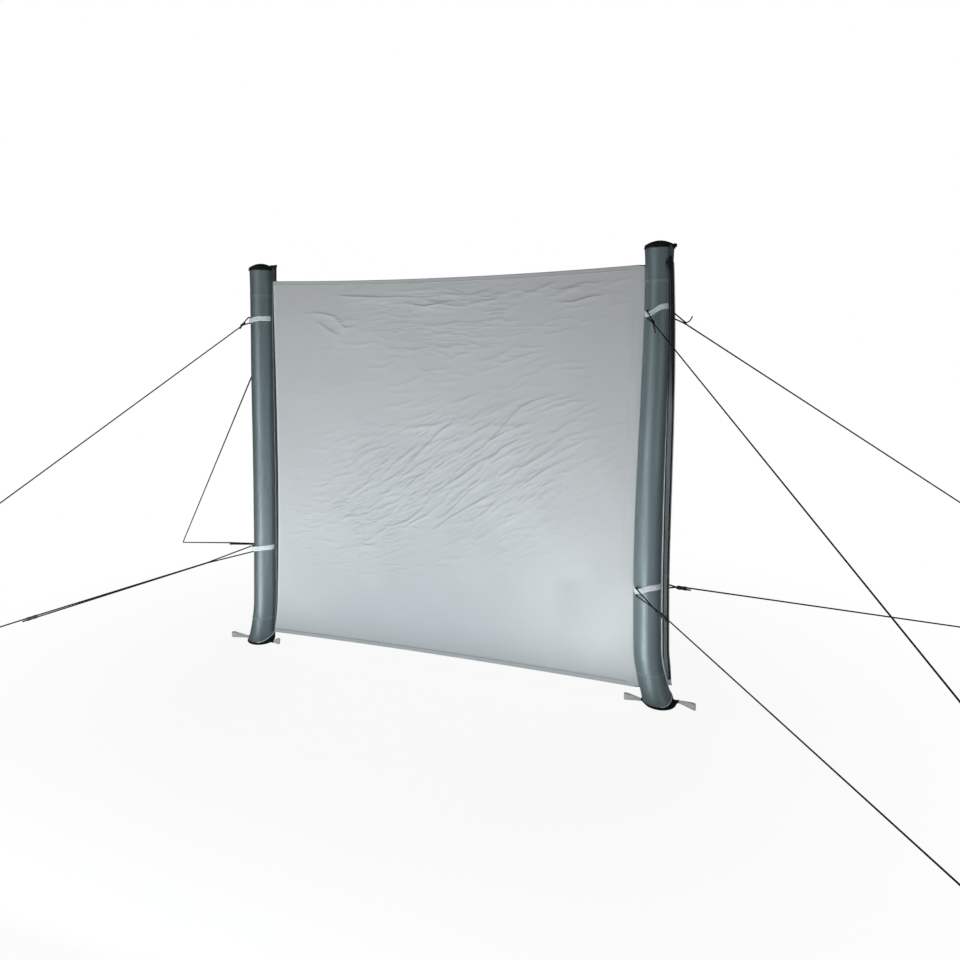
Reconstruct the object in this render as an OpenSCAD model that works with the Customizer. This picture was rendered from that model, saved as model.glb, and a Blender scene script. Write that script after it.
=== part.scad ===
// Inflatable beach windbreak, one bay. Two air tubes in sewn sleeves stand on the ground, a cloth
// panel is zipped between them, and guy lines from webbing bands on the tubes hold it upright.
// The free zips on the outer sides of the tubes are where the next bay joins on.
// X runs along the panel, +Y is the sheltered side, +Z is up. The origin is under the left foot.

/* [Bay] */
// Height from the ground to the top of the caps
height = 2000; // [1600:10:2400]
// Distance between the two feet, centre to centre
span = 2068; // [1400:2:3000]

/* [Air tubes] */
// Diameter of an inflated tube
tube_d = 115; // [95:1:140]
// Diameter of a tube at its top end
top_d = 126; // [116:1:150]
// Diameter of a tube at its foot
foot_d = 138; // [120:1:160]
// Height over which each end of a tube flares
flare_h = 200; // [120:5:280]
// Height of the sewn end section at the top
top_section_h = 150; // [80:5:250]
// Height of the sewn end section at the foot
foot_section_h = 123; // [80:1:250]
// How far the left tube bows in towards the panel
left_bow = 25; // [0:1:60]
// How far the right tube bows in towards the panel
right_bow = 53; // [0:1:60]
// Height at which the foot has kicked back in to the full bow
kick_h = 250; // [150:10:350]
// Height up to which a tube keeps its full bow
bow_top_z = 400; // [360:10:600]

/* [Caps] */
// Height of the black rim round the top
cap_rim_h = 12; // [6:1:24]
// Rise of the domed top above its rim
cap_dome_h = 10; // [4:1:20]
// Height of the black foot cup
foot_cap_h = 14; // [8:1:24]
// Rounding of the foot cup's lower edge
foot_edge_r = 5; // [2:0.5:7]
// How far the caps stand proud of the sleeve
cap_proud = 1; // [0.5:0.5:4]
// Width of the bound corner at the side of a top cap
cap_corner_w = 14; // [8:1:20]

/* [Zips] */
// Distance from the tube to the free edge of a zip
flange_w = 36; // [24:1:50]
// Width of the zip along the edge of a flange
zip_w = 8; // [5:0.5:12]
// Thickness of the sewn flange
flange_t = 2; // [1:0.5:4]
// Thickness of the zip
zip_t = 4.6; // [3:0.2:8]
// Height of the lower end of the outer zips
outer_zip_low = 90; // [60:5:200]
// Distance from the tube to an outer zip at the zip's lower end
outer_zip_end = 9; // [4:1:16]
// Height over which an outer zip draws in to its lower end
outer_zip_draw = 110; // [60:5:160]
// Turn of the outer seam of the left tube at the foot, in degrees
left_seam_turn = 22; // [0:1:40]
// Turn of the outer seams at the top, in degrees
top_seam_turn = 48; // [0:1:60]
// Height at which the outer seams start to turn
seam_turn_z = 750; // [300:10:1200]
// Length of a zip pull
pull_l = 26; // [16:1:40]

/* [Panel] */
// Height of the panel's top corners
panel_top = 1903; // [1400:1:1950]
// Height of the panel's bottom corners
panel_low = 62; // [40:1:120]
// Sag of the top edge at mid span
top_sag = 20; // [0:1:60]
// Rise of the bottom edge at mid span
low_rise = 10; // [0:1:40]
// Distance from a tube to the panel's edge at the corners
corner_gap = 20; // [12:1:26]
// How much further the edge pulls away at mid height
edge_scallop = 12; // [0:1:16]
// Thickness of the panel
panel_t = 2; // [1:0.5:4]
// Depth of the top and bottom hems
hem_h = 20; // [10:1:40]
// Thickness of the cloth folded over at the hems
hem_t = 0.5; // [0.2:0.1:2]
// Thickness of the cover flaps along the panel's edges
flap_t = 1.4; // [0.8:0.2:3]
// Width by which a cover flap is sewn on to the panel
flap_seam = 12; // [8:1:20]

/* [Bands and lines] */
// Height of the upper webbing bands
upper_band_z = 1708; // [1300:1:1780]
// Height of the lower webbing bands
lower_band_z = 510; // [300:1:900]
// Width of the webbing
web_w = 25; // [20:1:40]
// Thickness of the webbing
web_t = 1.6; // [1:0.2:3]
// How far the pull of a line draws the left tube's bands down
band_dip = 10; // [0:1:24]
// How far the pull of a line draws the right tube's bands down
right_band_dip = 25; // [0:1:40]
// How far the right tube's bands climb towards its front
right_band_tilt = 12; // [0:1:20]
// Direction in which the rear lines leave a tube, in degrees
tie_turn = 52; // [30:1:70]
// Diameter of a guy line
line_d = 5.5; // [3:0.5:6]
// Distance of the upper knots from their bands
knot_run = 55; // [40:1:120]
// Diameter of a knot
knot_d = 13; // [9:0.5:16]
// Length of a line slider
slider_l = 46; // [30:1:70]
// Width of a line slider
slider_w = 18; // [16:0.5:30]
// Thickness of a line slider
slider_t = 8; // [7.5:0.5:12]

/* [Peg loops] */
// Width of the eye of a peg loop, outside
loop_w = 18; // [14:0.5:26]
// Length of the left foot's outer peg loop
left_outer_loop = 118; // [50:1:160]
// Length of the left foot's inner peg loop
left_inner_loop = 46; // [40:1:160]
// Length of the right foot's inner peg loop
right_inner_loop = 84; // [50:1:160]
// Length of the right foot's outer peg loop
right_outer_loop = 80; // [50:1:160]

/* [Valves] */
// Height of the inflation valves
valve_z = 300; // [200:5:420]
// Diameter of a valve's base
valve_d = 44; // [30:1:60]
// Thickness of a valve's base
valve_base_t = 2; // [1:0.5:4]
// Diameter of a valve's neck
valve_neck_d = 28; // [16:1:40]
// Height of a valve's neck
valve_neck = 6; // [4:0.5:12]
// Diameter of a valve's screw cap
valve_cap_d = 34; // [20:1:50]
// Diameter of the flat face on the screw cap
valve_face_d = 32; // [18:1:48]
// Height of the screw cap
valve_cap_h = 11; // [6:0.5:16]
// How far the face of the screw cap stands out of its rim
valve_face_h = 2; // [0.5:0.5:4]

/* [Hidden] */

// Clearance between sewn or seated pieces
fit = 0.3;
// Clearance round a line where it passes through something
line_fit = 0.5;
left = 0;
right = 1;
sleeve_color = [0.42, 0.50, 0.51];
panel_color = [0.72, 0.74, 0.76];
webbing_color = [0.75, 0.78, 0.79];
loop_color = [0.60, 0.61, 0.62];
flange_color = [0.36, 0.41, 0.42];
black = [0.05, 0.05, 0.06];

tube_r = tube_d / 2;
sleeve_top_z = height - cap_rim_h - cap_dome_h;
body_top_z = sleeve_top_z - top_section_h;
body_low_z = foot_cap_h + foot_section_h;
tube_sides = 32;
tube_rings = 26;
end_rings = 7;
strap_rings = 30;
seam_rings = 30;
low_crowd = 1.4;
edge_steps = 24;
flange_r = tube_r + flange_w;
zip_r = flange_r - zip_w;
panel_back = -zip_t / 2 - fit;
panel_front = panel_back - panel_t;
hem_front = panel_front - hem_t;
// How far the cover flaps stop short of the panel's corners
flap_inset = 6;
// How close a cover flap's free edge comes to its tube
flap_reach = 3;
// Distance from a tube's axis at which a cover flap is sewn to the panel
flap_seam_r = flange_r + fit + zip_w + fit;

// Where each guy line meets the ground, measured from the foot of its own tube
front_left_peg = [-1600, -1540];
rear_left_peg = [-1930, 1540];
front_right_peg = [1420, -1750];
rear_right_peg = [2460, 1390];
// How far along the lower run, from band to ground, each slider has been pushed
front_left_slide = 0.46;
rear_left_slide = 0.386;
front_right_slide = 0.086;
rear_right_slide = 0.038;
// How the free tail leaves each upper knot
front_left_tail = [-20, -10, -38];
rear_left_tail = [-6, 12, -40];
front_right_tail = [10, 0, -48];
rear_right_tail = [30, 4, 30];
slider_web = 2;
slider_play = 0.8;
slider_bore = line_d + slider_play;
slider_pitch = slider_bore + slider_web;
slider_corner = 4;
slider_grip_d = 20;
slider_grip_depth = 1.5;
end_tail = 18;
line_sides = 8;
line_bend = 4;
// Turn below which a line is taken as straight, and the most that one facet of a bend turns
straight_turn = 4;
bend_step = 35;
// How far a line lies off the ground at its peg
line_ground = 0.2;
// Angles over which a line's pull draws its band down, and lifts it off the tube
dip_spread = 40;
lift_spread = 13;
// Direction in which the right tube's bands climb
tilt_turn = 315;
peg_root = 14;
peg_root_drop = 3;
peg_ground = 0.4;

function clamp01(t) = max(0, min(1, t));
function sq(t) = t * t;
function bump(t) = exp(-t * t);

// Share of the full bow at a height: a quick kick in from the foot, then a slow return to the top
function bow(z) =
    z < kick_h ? sin(90 * z / kick_h) :
    z < bow_top_z ? 1 : (1 + cos(180 * clamp01((z - bow_top_z) / (height - bow_top_z)))) / 2;
function axis_x(side, z) = side == left ? left_bow * bow(z) : span - right_bow * bow(z);
function radius(z) =
    tube_r + (foot_d - tube_d) / 2 * sq(clamp01(1 - z / flare_h))
    + (top_d - tube_d) / 2 * sq(clamp01(1 - (height - z) / flare_h));

// Directions of the two seams of a tube, in degrees from +X
function inner_seam(side) = side == left ? 0 : 180;
function seam_rise(z) = clamp01((z - seam_turn_z) / (height - seam_turn_z));
function outer_seam(side, z) = side == left
    ? 180 - left_seam_turn - (top_seam_turn - left_seam_turn) * seam_rise(z)
    : -top_seam_turn * seam_rise(z);
function spaced(low, high, steps) = [for (i = [0:steps]) low + (high - low) * i / steps];
function polar(side, z, r, a) = [axis_x(side, z) + r * cos(a), r * sin(a), z];

// A closed skin through rings of points that run counter-clockwise seen from the last ring
module loft(rings) {
    n = len(rings[0]);
    m = len(rings);
    sides = [
        for (j = [0:m - 2], i = [0:n - 1])
        let (a = j * n + i, b = j * n + (i + 1) % n)
        each [[a, a + n, b], [b, a + n, b + n]]
    ];
    ends = [[for (i = [0:n - 1]) i], [for (i = [n - 1:-1:0]) (m - 1) * n + i]];
    polyhedron(points = [for (ring = rings) each ring], faces = concat(sides, ends));
}

module sleeve(side, low, high, steps) {
    color(sleeve_color)
    loft([
        for (z = spaced(low, high, steps))
        [for (i = [0:tube_sides - 1]) polar(side, z, radius(z), 360 * i / tube_sides)]
    ]);
}

module tube(side) sleeve(side, body_low_z, body_top_z, tube_rings);
module tube_top_section(side) sleeve(side, body_top_z, sleeve_top_z, end_rings);
module tube_foot_section(side) sleeve(side, foot_cap_h, body_low_z, end_rings);

// Domed black end over the top of the sleeve, with a bound corner where its binding ends
module top_cap(side) {
    r = top_d / 2 + cap_proud;
    dome_r = (r * r + cap_dome_h * cap_dome_h) / (2 * cap_dome_h);
    color(black)
    translate([axis_x(side, height), 0, sleeve_top_z]) {
        rotate_extrude($fn = 96) {
            square([r, cap_rim_h]);
            intersection() {
                translate([0, height - sleeve_top_z - dome_r]) circle(dome_r, $fn = 240);
                translate([0, cap_rim_h / 2]) square([r, cap_dome_h + cap_rim_h]);
            }
        }
        translate([r - cap_corner_w / 4, 0, fit]) cylinder(d = cap_corner_w, h = cap_rim_h, $fn = 48);
    }
}

// Black cup under the sleeve with the flat sole that the tube stands on
module foot_cap(side) {
    r = foot_d / 2 + cap_proud;
    color(black)
    translate([axis_x(side, 0), 0, 0])
    rotate_extrude($fn = 96) {
        square([r - foot_edge_r, foot_cap_h]);
        translate([0, foot_edge_r]) square([r, foot_cap_h - foot_edge_r]);
        translate([r - foot_edge_r, foot_edge_r]) circle(foot_edge_r, $fn = 48);
    }
}

// Height and lift of a band where the pull of its line draws it down and away from the tube
function tie_pull(a, spread) = bump((a - tie_turn) / spread) + bump((a - tie_turn - 180) / spread);
function band_z(side, z, a) = side == left
    ? z - band_dip * tie_pull(a, dip_spread)
    : z + right_band_tilt * cos(a - tilt_turn) - right_band_dip * tie_pull(a, dip_spread);
band_lift = line_d + 2 * line_fit;
function band_r(z, a) = radius(z) + fit + band_lift * tie_pull(a, lift_spread);

// One strap of webbing round one side of a tube, from seam to seam
module strap(side, z, from, to) {
    loft([
        for (a = spaced(from, to, strap_rings))
        let (low = band_z(side, z, a) - web_w / 2, high = low + web_w)
        [
            polar(side, low, band_r(low, a), a),
            polar(side, high, band_r(high, a), a),
            polar(side, high, band_r(high, a) + web_t, a),
            polar(side, low, band_r(low, a) + web_t, a)
        ]
    ]);
}

// A band is two straps, sewn into the seams on both sides of the tube
module band(side, z) {
    seam_gap = asin((flange_t / 2 + 2 * fit) / tube_r) + top_seam_turn / (height - seam_turn_z) * web_w;
    outer = outer_seam(side, band_z(side, z, outer_seam(side, z)));
    color(webbing_color)
    if (side == left) {
        strap(side, z, seam_gap, outer - seam_gap);
        strap(side, z, outer + seam_gap, 360 - seam_gap);
    } else {
        strap(side, z, outer + seam_gap, 180 - seam_gap);
        strap(side, z, 180 + seam_gap, 360 + outer - seam_gap);
    }
}

// Corners of a flat strip that stands out from the tube along a seam, at one height
function strip_ring(side, z, a, from, to, t) =
    let (c = [axis_x(side, z), 0, z], u = [cos(a), sin(a), 0], n = [-sin(a), cos(a), 0] * t / 2)
    [c + u * from - n, c + u * to - n, c + u * to + n, c + u * from + n];

function seam(side, is_outer, z) = is_outer ? outer_seam(side, z) : inner_seam(side);

// Distance of a zip from the tube's axis: an outer zip draws in to the tube at its lower end
function drawn_in(z) = sq(clamp01(1 - (z - outer_zip_low) / outer_zip_draw));
function zip_start(is_outer, z) = is_outer
    ? zip_r + (radius(z) + outer_zip_end - zip_r) * drawn_in(z)
    : zip_r;
// Heights of the rings of a flange or zip, closer together towards its lower end
function seam_levels(low, high) =
    [for (t = spaced(0, 1, seam_rings)) low + (high - low) * pow(t, low_crowd)];

module flange(side, is_outer, low, high) {
    color(flange_color)
    loft([
        for (z = seam_levels(low, high))
        strip_ring(side, z, seam(side, is_outer, z), radius(z) + fit, zip_start(is_outer, z), flange_t)
    ]);
}

module zip(side, is_outer, low, high) {
    color(black)
    loft([
        for (z = seam_levels(low, high))
        let (near = zip_start(is_outer, z))
        strip_ring(side, z, seam(side, is_outer, z), near, near + zip_w, zip_t)
    ]);
}

module inner_flange(side) flange(side, false, panel_low, side == left ? sleeve_top_z : panel_top);
module inner_zip(side) zip(side, false, panel_low, panel_top);
module outer_flange(side) flange(side, true, outer_zip_low, side == left ? panel_top : sleeve_top_z);
module outer_zip(side) zip(side, true, outer_zip_low, panel_top);

// Tab that hangs in front of the lower end of a free zip
module outer_zip_pull(side) {
    z = outer_zip_low + pull_l / 2;
    a = outer_seam(side, z);
    color(webbing_color)
    translate(polar(side, z, zip_start(true, z) + zip_w / 2, a))
    rotate([90, 0, a])
    translate([0, 0, zip_t / 2 + fit])
    linear_extrude(flap_t)
    difference() {
        union() {
            square([zip_w, pull_l - zip_w], center = true);
            for (end = [-1, 1]) translate([0, end * (pull_l - zip_w) / 2]) circle(d = zip_w, $fn = 32);
        }
        translate([0, (pull_l - zip_w) / 2]) circle(d = zip_w / 3, $fn = 24);
    }
}

// Moulded inflation valve on the sheltered side of a tube, with its screw cap closed
module valve(side) {
    color(black)
    translate([axis_x(side, valve_z), radius(valve_z) + fit, valve_z])
    rotate([-90, 0, 0])
    rotate_extrude($fn = 64) {
        square([valve_d / 2, valve_base_t]);
        square([valve_neck_d / 2, valve_neck]);
        translate([0, valve_neck]) square([valve_cap_d / 2, valve_cap_h - valve_face_h]);
        square([valve_face_d / 2, valve_neck + valve_cap_h]);
    }
}

// Raises an outline drawn in X and Z to a slab between two values of Y
module slab(near, far) translate([0, far, 0]) rotate([90, 0, 0]) linear_extrude(far - near) children();

// Loop of webbing at a foot: gathered low where it is sewn to the cup, then fanning out to an upright
// eye for a ground peg
module peg_loop(side, turn, length) {
    eye = length - loop_w / 2;
    inner = loop_w - 2 * web_t;
    root_h = foot_cap_h - peg_root_drop;
    color(loop_color)
    translate([axis_x(side, 0), 0, peg_ground])
    rotate(turn)
    translate([foot_d / 2 + cap_proud + fit, 0, 0])
    intersection() {
        linear_extrude(web_w)
        difference() {
            union() {
                translate([eye, 0]) circle(d = loop_w, $fn = 64);
                polygon([
                    [0, -web_t], [peg_root, -web_t], [eye, -loop_w / 2],
                    [eye, loop_w / 2], [peg_root, web_t], [0, web_t]
                ]);
            }
            translate([eye, 0]) circle(d = inner, $fn = 64);
            polygon([[peg_root + web_t, 0], [eye, -inner / 2], [eye, inner / 2]]);
        }
        slab(-loop_w, loop_w)
        polygon([[0, 0], [length, 0], [length, web_w], [eye - loop_w / 2, web_w], [0, root_h]]);
    }
}

module outer_peg_loop(side)
    peg_loop(side, side == left ? 180 : 0, side == left ? left_outer_loop : right_outer_loop);
module inner_peg_loop(side)
    peg_loop(side, side == left ? 0 : 180, side == left ? left_inner_loop : right_inner_loop);

// Outline of the panel: scalloped side edges, a sagging top edge and a bottom edge that rises
function panel_share(z) = clamp01((z - panel_low) / (panel_top - panel_low));
function edge_gap(z) = corner_gap + edge_scallop * (1 - sq(2 * panel_share(z) - 1));
function edge_x(side, z) =
    side == left ? axis_x(left, z) + tube_r + edge_gap(z) : axis_x(right, z) - tube_r - edge_gap(z);
function across(low_x, high_x, x) = 1 - sq(2 * (x - low_x) / (high_x - low_x) - 1);
function top_z(x) = panel_top - top_sag * across(edge_x(left, panel_top), edge_x(right, panel_top), x);
function low_z(x) = panel_low + low_rise * across(edge_x(left, panel_low), edge_x(right, panel_low), x);
edge_levels = spaced(panel_low, panel_top, edge_steps);
top_xs = spaced(edge_x(right, panel_top), edge_x(left, panel_top), edge_steps);
low_xs = spaced(edge_x(left, panel_low), edge_x(right, panel_low), edge_steps);
panel_outline = concat(
    [for (x = low_xs) [x, low_z(x)]],
    [for (i = [1:edge_steps - 1]) [edge_x(right, edge_levels[i]), edge_levels[i]]],
    [for (x = top_xs) [x, top_z(x)]],
    [for (i = [edge_steps - 1:-1:1]) [edge_x(left, edge_levels[i]), edge_levels[i]]]
);

module panel() {
    color(panel_color) {
        slab(panel_front, panel_back) polygon(panel_outline);
        slab(hem_front, panel_front) {
            polygon(concat([for (x = low_xs) [x, low_z(x)]],
                           [for (i = [edge_steps:-1:0]) [low_xs[i], low_z(low_xs[i]) + hem_h]]));
            polygon(concat([for (x = top_xs) [x, top_z(x)]],
                           [for (i = [edge_steps:-1:0]) [top_xs[i], top_z(top_xs[i]) - hem_h]]));
        }
    }
}

// Half of the zip along the back of the panel's edge, meshed with the half on the tube
module panel_zip(side) {
    to = side == left ? 1 : -1;
    color(black)
    loft([
        for (z = edge_levels)
        let (near = axis_x(side, z) + to * (flange_r + fit), far = near + to * zip_w)
        let (low_x = min(near, far), high_x = max(near, far))
        [
            [low_x, panel_back, zip_level(z)], [high_x, panel_back, zip_level(z)],
            [high_x, zip_t / 2, zip_level(z)], [low_x, zip_t / 2, zip_level(z)]
        ]
    ]);
}

// The panel's zips stop short of its hems
function zip_level(z) = max(panel_low + low_rise, min(panel_top - top_sag, z));

// Strip of cloth that covers the closed zip: on the back along the left edge, in front along the right
module flap_outline(side, from) {
    to = side == left ? 1 : -1;
    levels = spaced(panel_low + flap_inset, panel_top - flap_inset, edge_steps);
    far = flap_seam_r + flap_seam;
    polygon(concat(
        [for (z = levels) [axis_x(side, z) + to * max(from, radius(z) + flap_reach), z]],
        [for (i = [edge_steps:-1:0]) [axis_x(side, levels[i]) + to * far, levels[i]]]
    ));
}

module panel_left_flap() {
    flap_near = zip_t / 2 + fit;
    color(panel_color) {
        slab(flap_near, flap_near + flap_t) flap_outline(left, 0);
        slab(panel_back, flap_near) flap_outline(left, flap_seam_r);
    }
}

module panel_right_flap()
    color(panel_color) slab(hem_front - flap_t, hem_front) flap_outline(right, 0);

// Points of a rounded turn at one corner of a route, from direction u to direction v
function turn_points(corner, u, v, r) =
    let (turn = acos(min(1, u * v)))
    turn < straight_turn ? [corner] :
    let (
        inward = unit(v - u),
        along = unit(u + v),
        centre = corner + inward * r / cos(turn / 2),
        steps = ceil(turn / bend_step)
    )
    [for (t = spaced(-turn / 2, turn / 2, steps)) centre - inward * r * cos(t) + along * r * sin(t)];
function rounded(route, r) =
    let (last = len(route) - 1)
    [
        route[0],
        for (i = [1:last - 1])
        each turn_points(route[i], unit(route[i] - route[i - 1]), unit(route[i + 1] - route[i]), r),
        route[last]
    ];

// A round line swept along a route, with level as a level direction across it
module line(route, level) {
    last = len(route) - 1;
    loft([
        for (i = [0:last])
        let (
            way = unit(route[min(i + 1, last)] - route[max(i - 1, 0)]),
            across = unit(level - (level * way) * way),
            up = cross(way, across)
        )
        [for (k = [0:line_sides - 1])
            let (turn = 360 * k / line_sides)
            route[i] + (across * cos(turn) + up * sin(turn)) * line_d / 2]
    ]);
}

// Points of the turn that a line takes round its band: over the top edge, behind it and back below
function band_turn(side, z, a) =
    let (
        mid = band_z(side, z, a),
        reach = web_w / 2 + line_d / 2 + line_fit,
        behind = radius(mid) + line_fit + line_d / 2,
        before = band_r(mid, a) + web_t + line_fit + line_d / 2
    )
    [for (p = [[before, 1], [behind, 1], [behind, -1], [before, -1]])
        [axis_x(side, mid) + p[0] * cos(a), p[0] * sin(a), mid + p[1] * reach]];

function mean(points) = (points[0] + points[3]) / 2;
function unit(v) = v / norm(v);
function ground_point(side, peg) = [axis_x(side, 0) + peg.x, peg.y, line_d / 2 + line_ground];

// Place and direction of a slider on the lower run of a line, from the band towards the ground
function lower_start(side, a) = mean(band_turn(side, lower_band_z, a));
function lower_way(side, a, peg) = unit(ground_point(side, peg) - lower_start(side, a));
function slider_mid(side, a, peg, share) =
    lower_start(side, a) + share * (ground_point(side, peg) - lower_start(side, a));
function upright(way) = unit(cross(cross(way, [0, 0, 1]), way));

// One continuous line: knotted round the upper band, down to its peg in the ground, back up through
// the slider, round the lower band and back to the slider
module guy_line(side, a, peg, share, tail) {
    high = band_turn(side, upper_band_z, a);
    low = band_turn(side, lower_band_z, a);
    ground = ground_point(side, peg);
    knot = mean(high) + knot_run * unit(ground - mean(high));
    strand = [0, 0, line_d / 2 + line_fit];
    way = lower_way(side, a, peg);
    mid = slider_mid(side, a, peg, share);
    above = mid + upright(way) * slider_pitch / 2;
    below = mid - upright(way) * slider_pitch / 2;
    half = way * slider_l / 2;
    level = unit(cross(way, [0, 0, 1]));
    route = concat(
        [knot + strand], high, [knot - strand, ground, above + half, above - half],
        low, [below - half, below + half + way * end_tail]
    );
    color(black) {
        line(rounded(route, line_bend), level);
        translate(knot) sphere(d = knot_d, $fn = 12);
        line([knot, knot + tail], level);
    }
}

// Flat moulded slider with a bore for each strand of the line and a waist to grip
module slider(side, a, peg, share) {
    way = lower_way(side, a, peg);
    color(black)
    translate(slider_mid(side, a, peg, share))
    rotate([0, -asin(way.z), atan2(way.y, way.x)])
    difference() {
        rotate([90, 0, 0])
        translate([0, 0, -slider_t / 2])
        linear_extrude(slider_t)
        difference() {
            union() {
                square([slider_l - 2 * slider_corner, slider_w], center = true);
                square([slider_l, slider_w - 2 * slider_corner], center = true);
                for (x = [-1, 1], y = [-1, 1])
                    translate([x * (slider_l / 2 - slider_corner), y * (slider_w / 2 - slider_corner)])
                        circle(slider_corner, $fn = 32);
            }
            for (y = [-1, 1])
                translate([0, y * (slider_w / 2 + slider_grip_d / 2 - slider_grip_depth)])
                    circle(d = slider_grip_d, $fn = 64);
        }
        for (v = [-1, 1])
            translate([-slider_l, 0, v * slider_pitch / 2])
                rotate([0, 90, 0]) cylinder(h = 2 * slider_l, d = slider_bore, $fn = 32);
    }
}

rear = tie_turn;
front = tie_turn + 180;

tube(left);  // left_tube
tube_top_section(left);  // left_tube_top_section
tube_foot_section(left);  // left_tube_foot_section
top_cap(left);  // left_top_cap
foot_cap(left);  // left_foot_cap
band(left, upper_band_z);  // left_upper_band
band(left, lower_band_z);  // left_lower_band
inner_flange(left);  // left_inner_flange
inner_zip(left);  // left_inner_zip
outer_flange(left);  // left_outer_flange
outer_zip(left);  // left_outer_zip
outer_zip_pull(left);  // left_outer_zip_pull
valve(left);  // left_valve
outer_peg_loop(left);  // left_outer_peg_loop
inner_peg_loop(left);  // left_inner_peg_loop
tube(right);  // right_tube
tube_top_section(right);  // right_tube_top_section
tube_foot_section(right);  // right_tube_foot_section
top_cap(right);  // right_top_cap
foot_cap(right);  // right_foot_cap
band(right, upper_band_z);  // right_upper_band
band(right, lower_band_z);  // right_lower_band
inner_flange(right);  // right_inner_flange
inner_zip(right);  // right_inner_zip
outer_flange(right);  // right_outer_flange
outer_zip(right);  // right_outer_zip
outer_zip_pull(right);  // right_outer_zip_pull
valve(right);  // right_valve
outer_peg_loop(right);  // right_outer_peg_loop
inner_peg_loop(right);  // right_inner_peg_loop
panel();
panel_zip(left);  // panel_left_zip
panel_zip(right);  // panel_right_zip
panel_left_flap();
panel_right_flap();
guy_line(left, front, front_left_peg, front_left_slide, front_left_tail);  // front_left_guy_line
guy_line(left, rear, rear_left_peg, rear_left_slide, rear_left_tail);  // rear_left_guy_line
guy_line(right, front, front_right_peg, front_right_slide, front_right_tail);  // front_right_guy_line
guy_line(right, rear, rear_right_peg, rear_right_slide, rear_right_tail);  // rear_right_guy_line
slider(left, front, front_left_peg, front_left_slide);  // front_left_slider
slider(left, rear, rear_left_peg, rear_left_slide);  // rear_left_slider
slider(right, front, front_right_peg, front_right_slide);  // front_right_slider
slider(right, rear, rear_right_peg, rear_right_slide);  // rear_right_slider
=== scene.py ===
import math

import bpy
import numpy as np
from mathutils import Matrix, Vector


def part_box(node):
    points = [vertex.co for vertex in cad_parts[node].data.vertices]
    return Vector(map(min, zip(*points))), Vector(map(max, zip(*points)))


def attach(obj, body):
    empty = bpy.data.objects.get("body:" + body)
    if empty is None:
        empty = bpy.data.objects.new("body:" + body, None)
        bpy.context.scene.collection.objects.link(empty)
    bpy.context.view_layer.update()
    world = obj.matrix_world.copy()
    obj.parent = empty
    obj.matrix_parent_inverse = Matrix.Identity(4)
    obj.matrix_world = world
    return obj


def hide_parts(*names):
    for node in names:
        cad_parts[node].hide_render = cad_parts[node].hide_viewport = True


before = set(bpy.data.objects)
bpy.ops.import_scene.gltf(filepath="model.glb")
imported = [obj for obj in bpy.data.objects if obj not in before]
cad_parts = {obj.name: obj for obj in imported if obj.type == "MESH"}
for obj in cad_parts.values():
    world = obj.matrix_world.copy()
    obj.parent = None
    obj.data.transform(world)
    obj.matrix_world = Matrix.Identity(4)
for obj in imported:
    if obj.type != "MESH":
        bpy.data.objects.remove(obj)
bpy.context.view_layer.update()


# Air tube sleeves
# Each upright is an air bladder inside a sleeve of slate coated polyester. The sleeve is one long tube of
# cloth with a short length lapped and sewn on at the top and at the foot, and air pressure keeps it round.
sides = ("left", "right")
foot_box = {side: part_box(side + "_foot_cap") for side in sides}
top_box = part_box("left_top_cap")
cap_proud = 0.001
height = top_box[1].z
foot_x = {side: (low.x + high.x) / 2 for side, (low, high) in foot_box.items()}
foot_r = (foot_box["left"][1].x - foot_box["left"][0].x) / 2 - cap_proud
top_r = (top_box[1].y - top_box[0].y) / 2 - cap_proud
tube_r = 0.0575
flare_h = 0.2
full_bow = {"left": 0.025, "right": -0.053}
kick_h = 0.25
bow_top_z = 0.4
seam_turn_z = 0.75
left_seam_turn = 22
top_seam_turn = 48
sleeve_low_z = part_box("left_tube_foot_section")[0].z
body_low_z, body_top_z = (corner.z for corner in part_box("left_tube"))
sleeve_top_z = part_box("left_tube_top_section")[1].z
seam_welt = 0.0022
welt_reach = 0.005
gather_depth = 0.0011
gather_reach = 0.02
gather_count = 34
gather_sway, gather_sway_count = 2, 3
lap_lift = 0.0006
lap_w = 0.012
slack_depth = 0.0005
slack_size = 0.16
slack_stretch = 0.4
slack_seed = {"left": 11, "right": 12}
sleeve_columns = 128
sleeve_step = 0.007
sleeve_weave = (0.0014, 0.0001)
sleeve_coat_ior = 2.1
sleeve_gloss_tint = (0.80, 0.96, 1, 1)
tone_drift = (0.3, 0.7)
worn_dull, worn_shine = 0.07, 0.05
thread_wobble, thread_strength = 0.6, 0.5
wave_rate = 20


def bow(z):
    kick = np.sin(math.pi / 2 * np.clip(z / kick_h, 0, 1))
    ease = (1 + np.cos(math.pi * np.clip((z - bow_top_z) / (height - bow_top_z), 0, 1))) / 2
    return kick * ease


def axis_x(side, z):
    return foot_x[side] + full_bow[side] * bow(z)


def radius(z):
    foot_flare = (foot_r - tube_r) * np.clip(1 - z / flare_h, 0, 1) ** 2
    top_flare = (top_r - tube_r) * np.clip(1 - (height - z) / flare_h, 0, 1) ** 2
    return tube_r + foot_flare + top_flare


def inner_seam(side, z):
    return 0 * z + (0 if side == "left" else 180)


def outer_seam(side, z):
    rise = np.clip((z - seam_turn_z) / (height - seam_turn_z), 0, 1)
    if side == "left":
        return 180 - left_seam_turn - (top_seam_turn - left_seam_turn) * rise
    return -top_seam_turn * rise


def on_tube(side, z, r, turn):
    """Points at a distance from a tube's axis, in a direction in degrees from +X."""
    z, r, turn = np.broadcast_arrays(z, r, np.radians(turn))
    return np.stack([axis_x(side, z) + r * np.cos(turn), r * np.sin(turn), z], -1)


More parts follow.
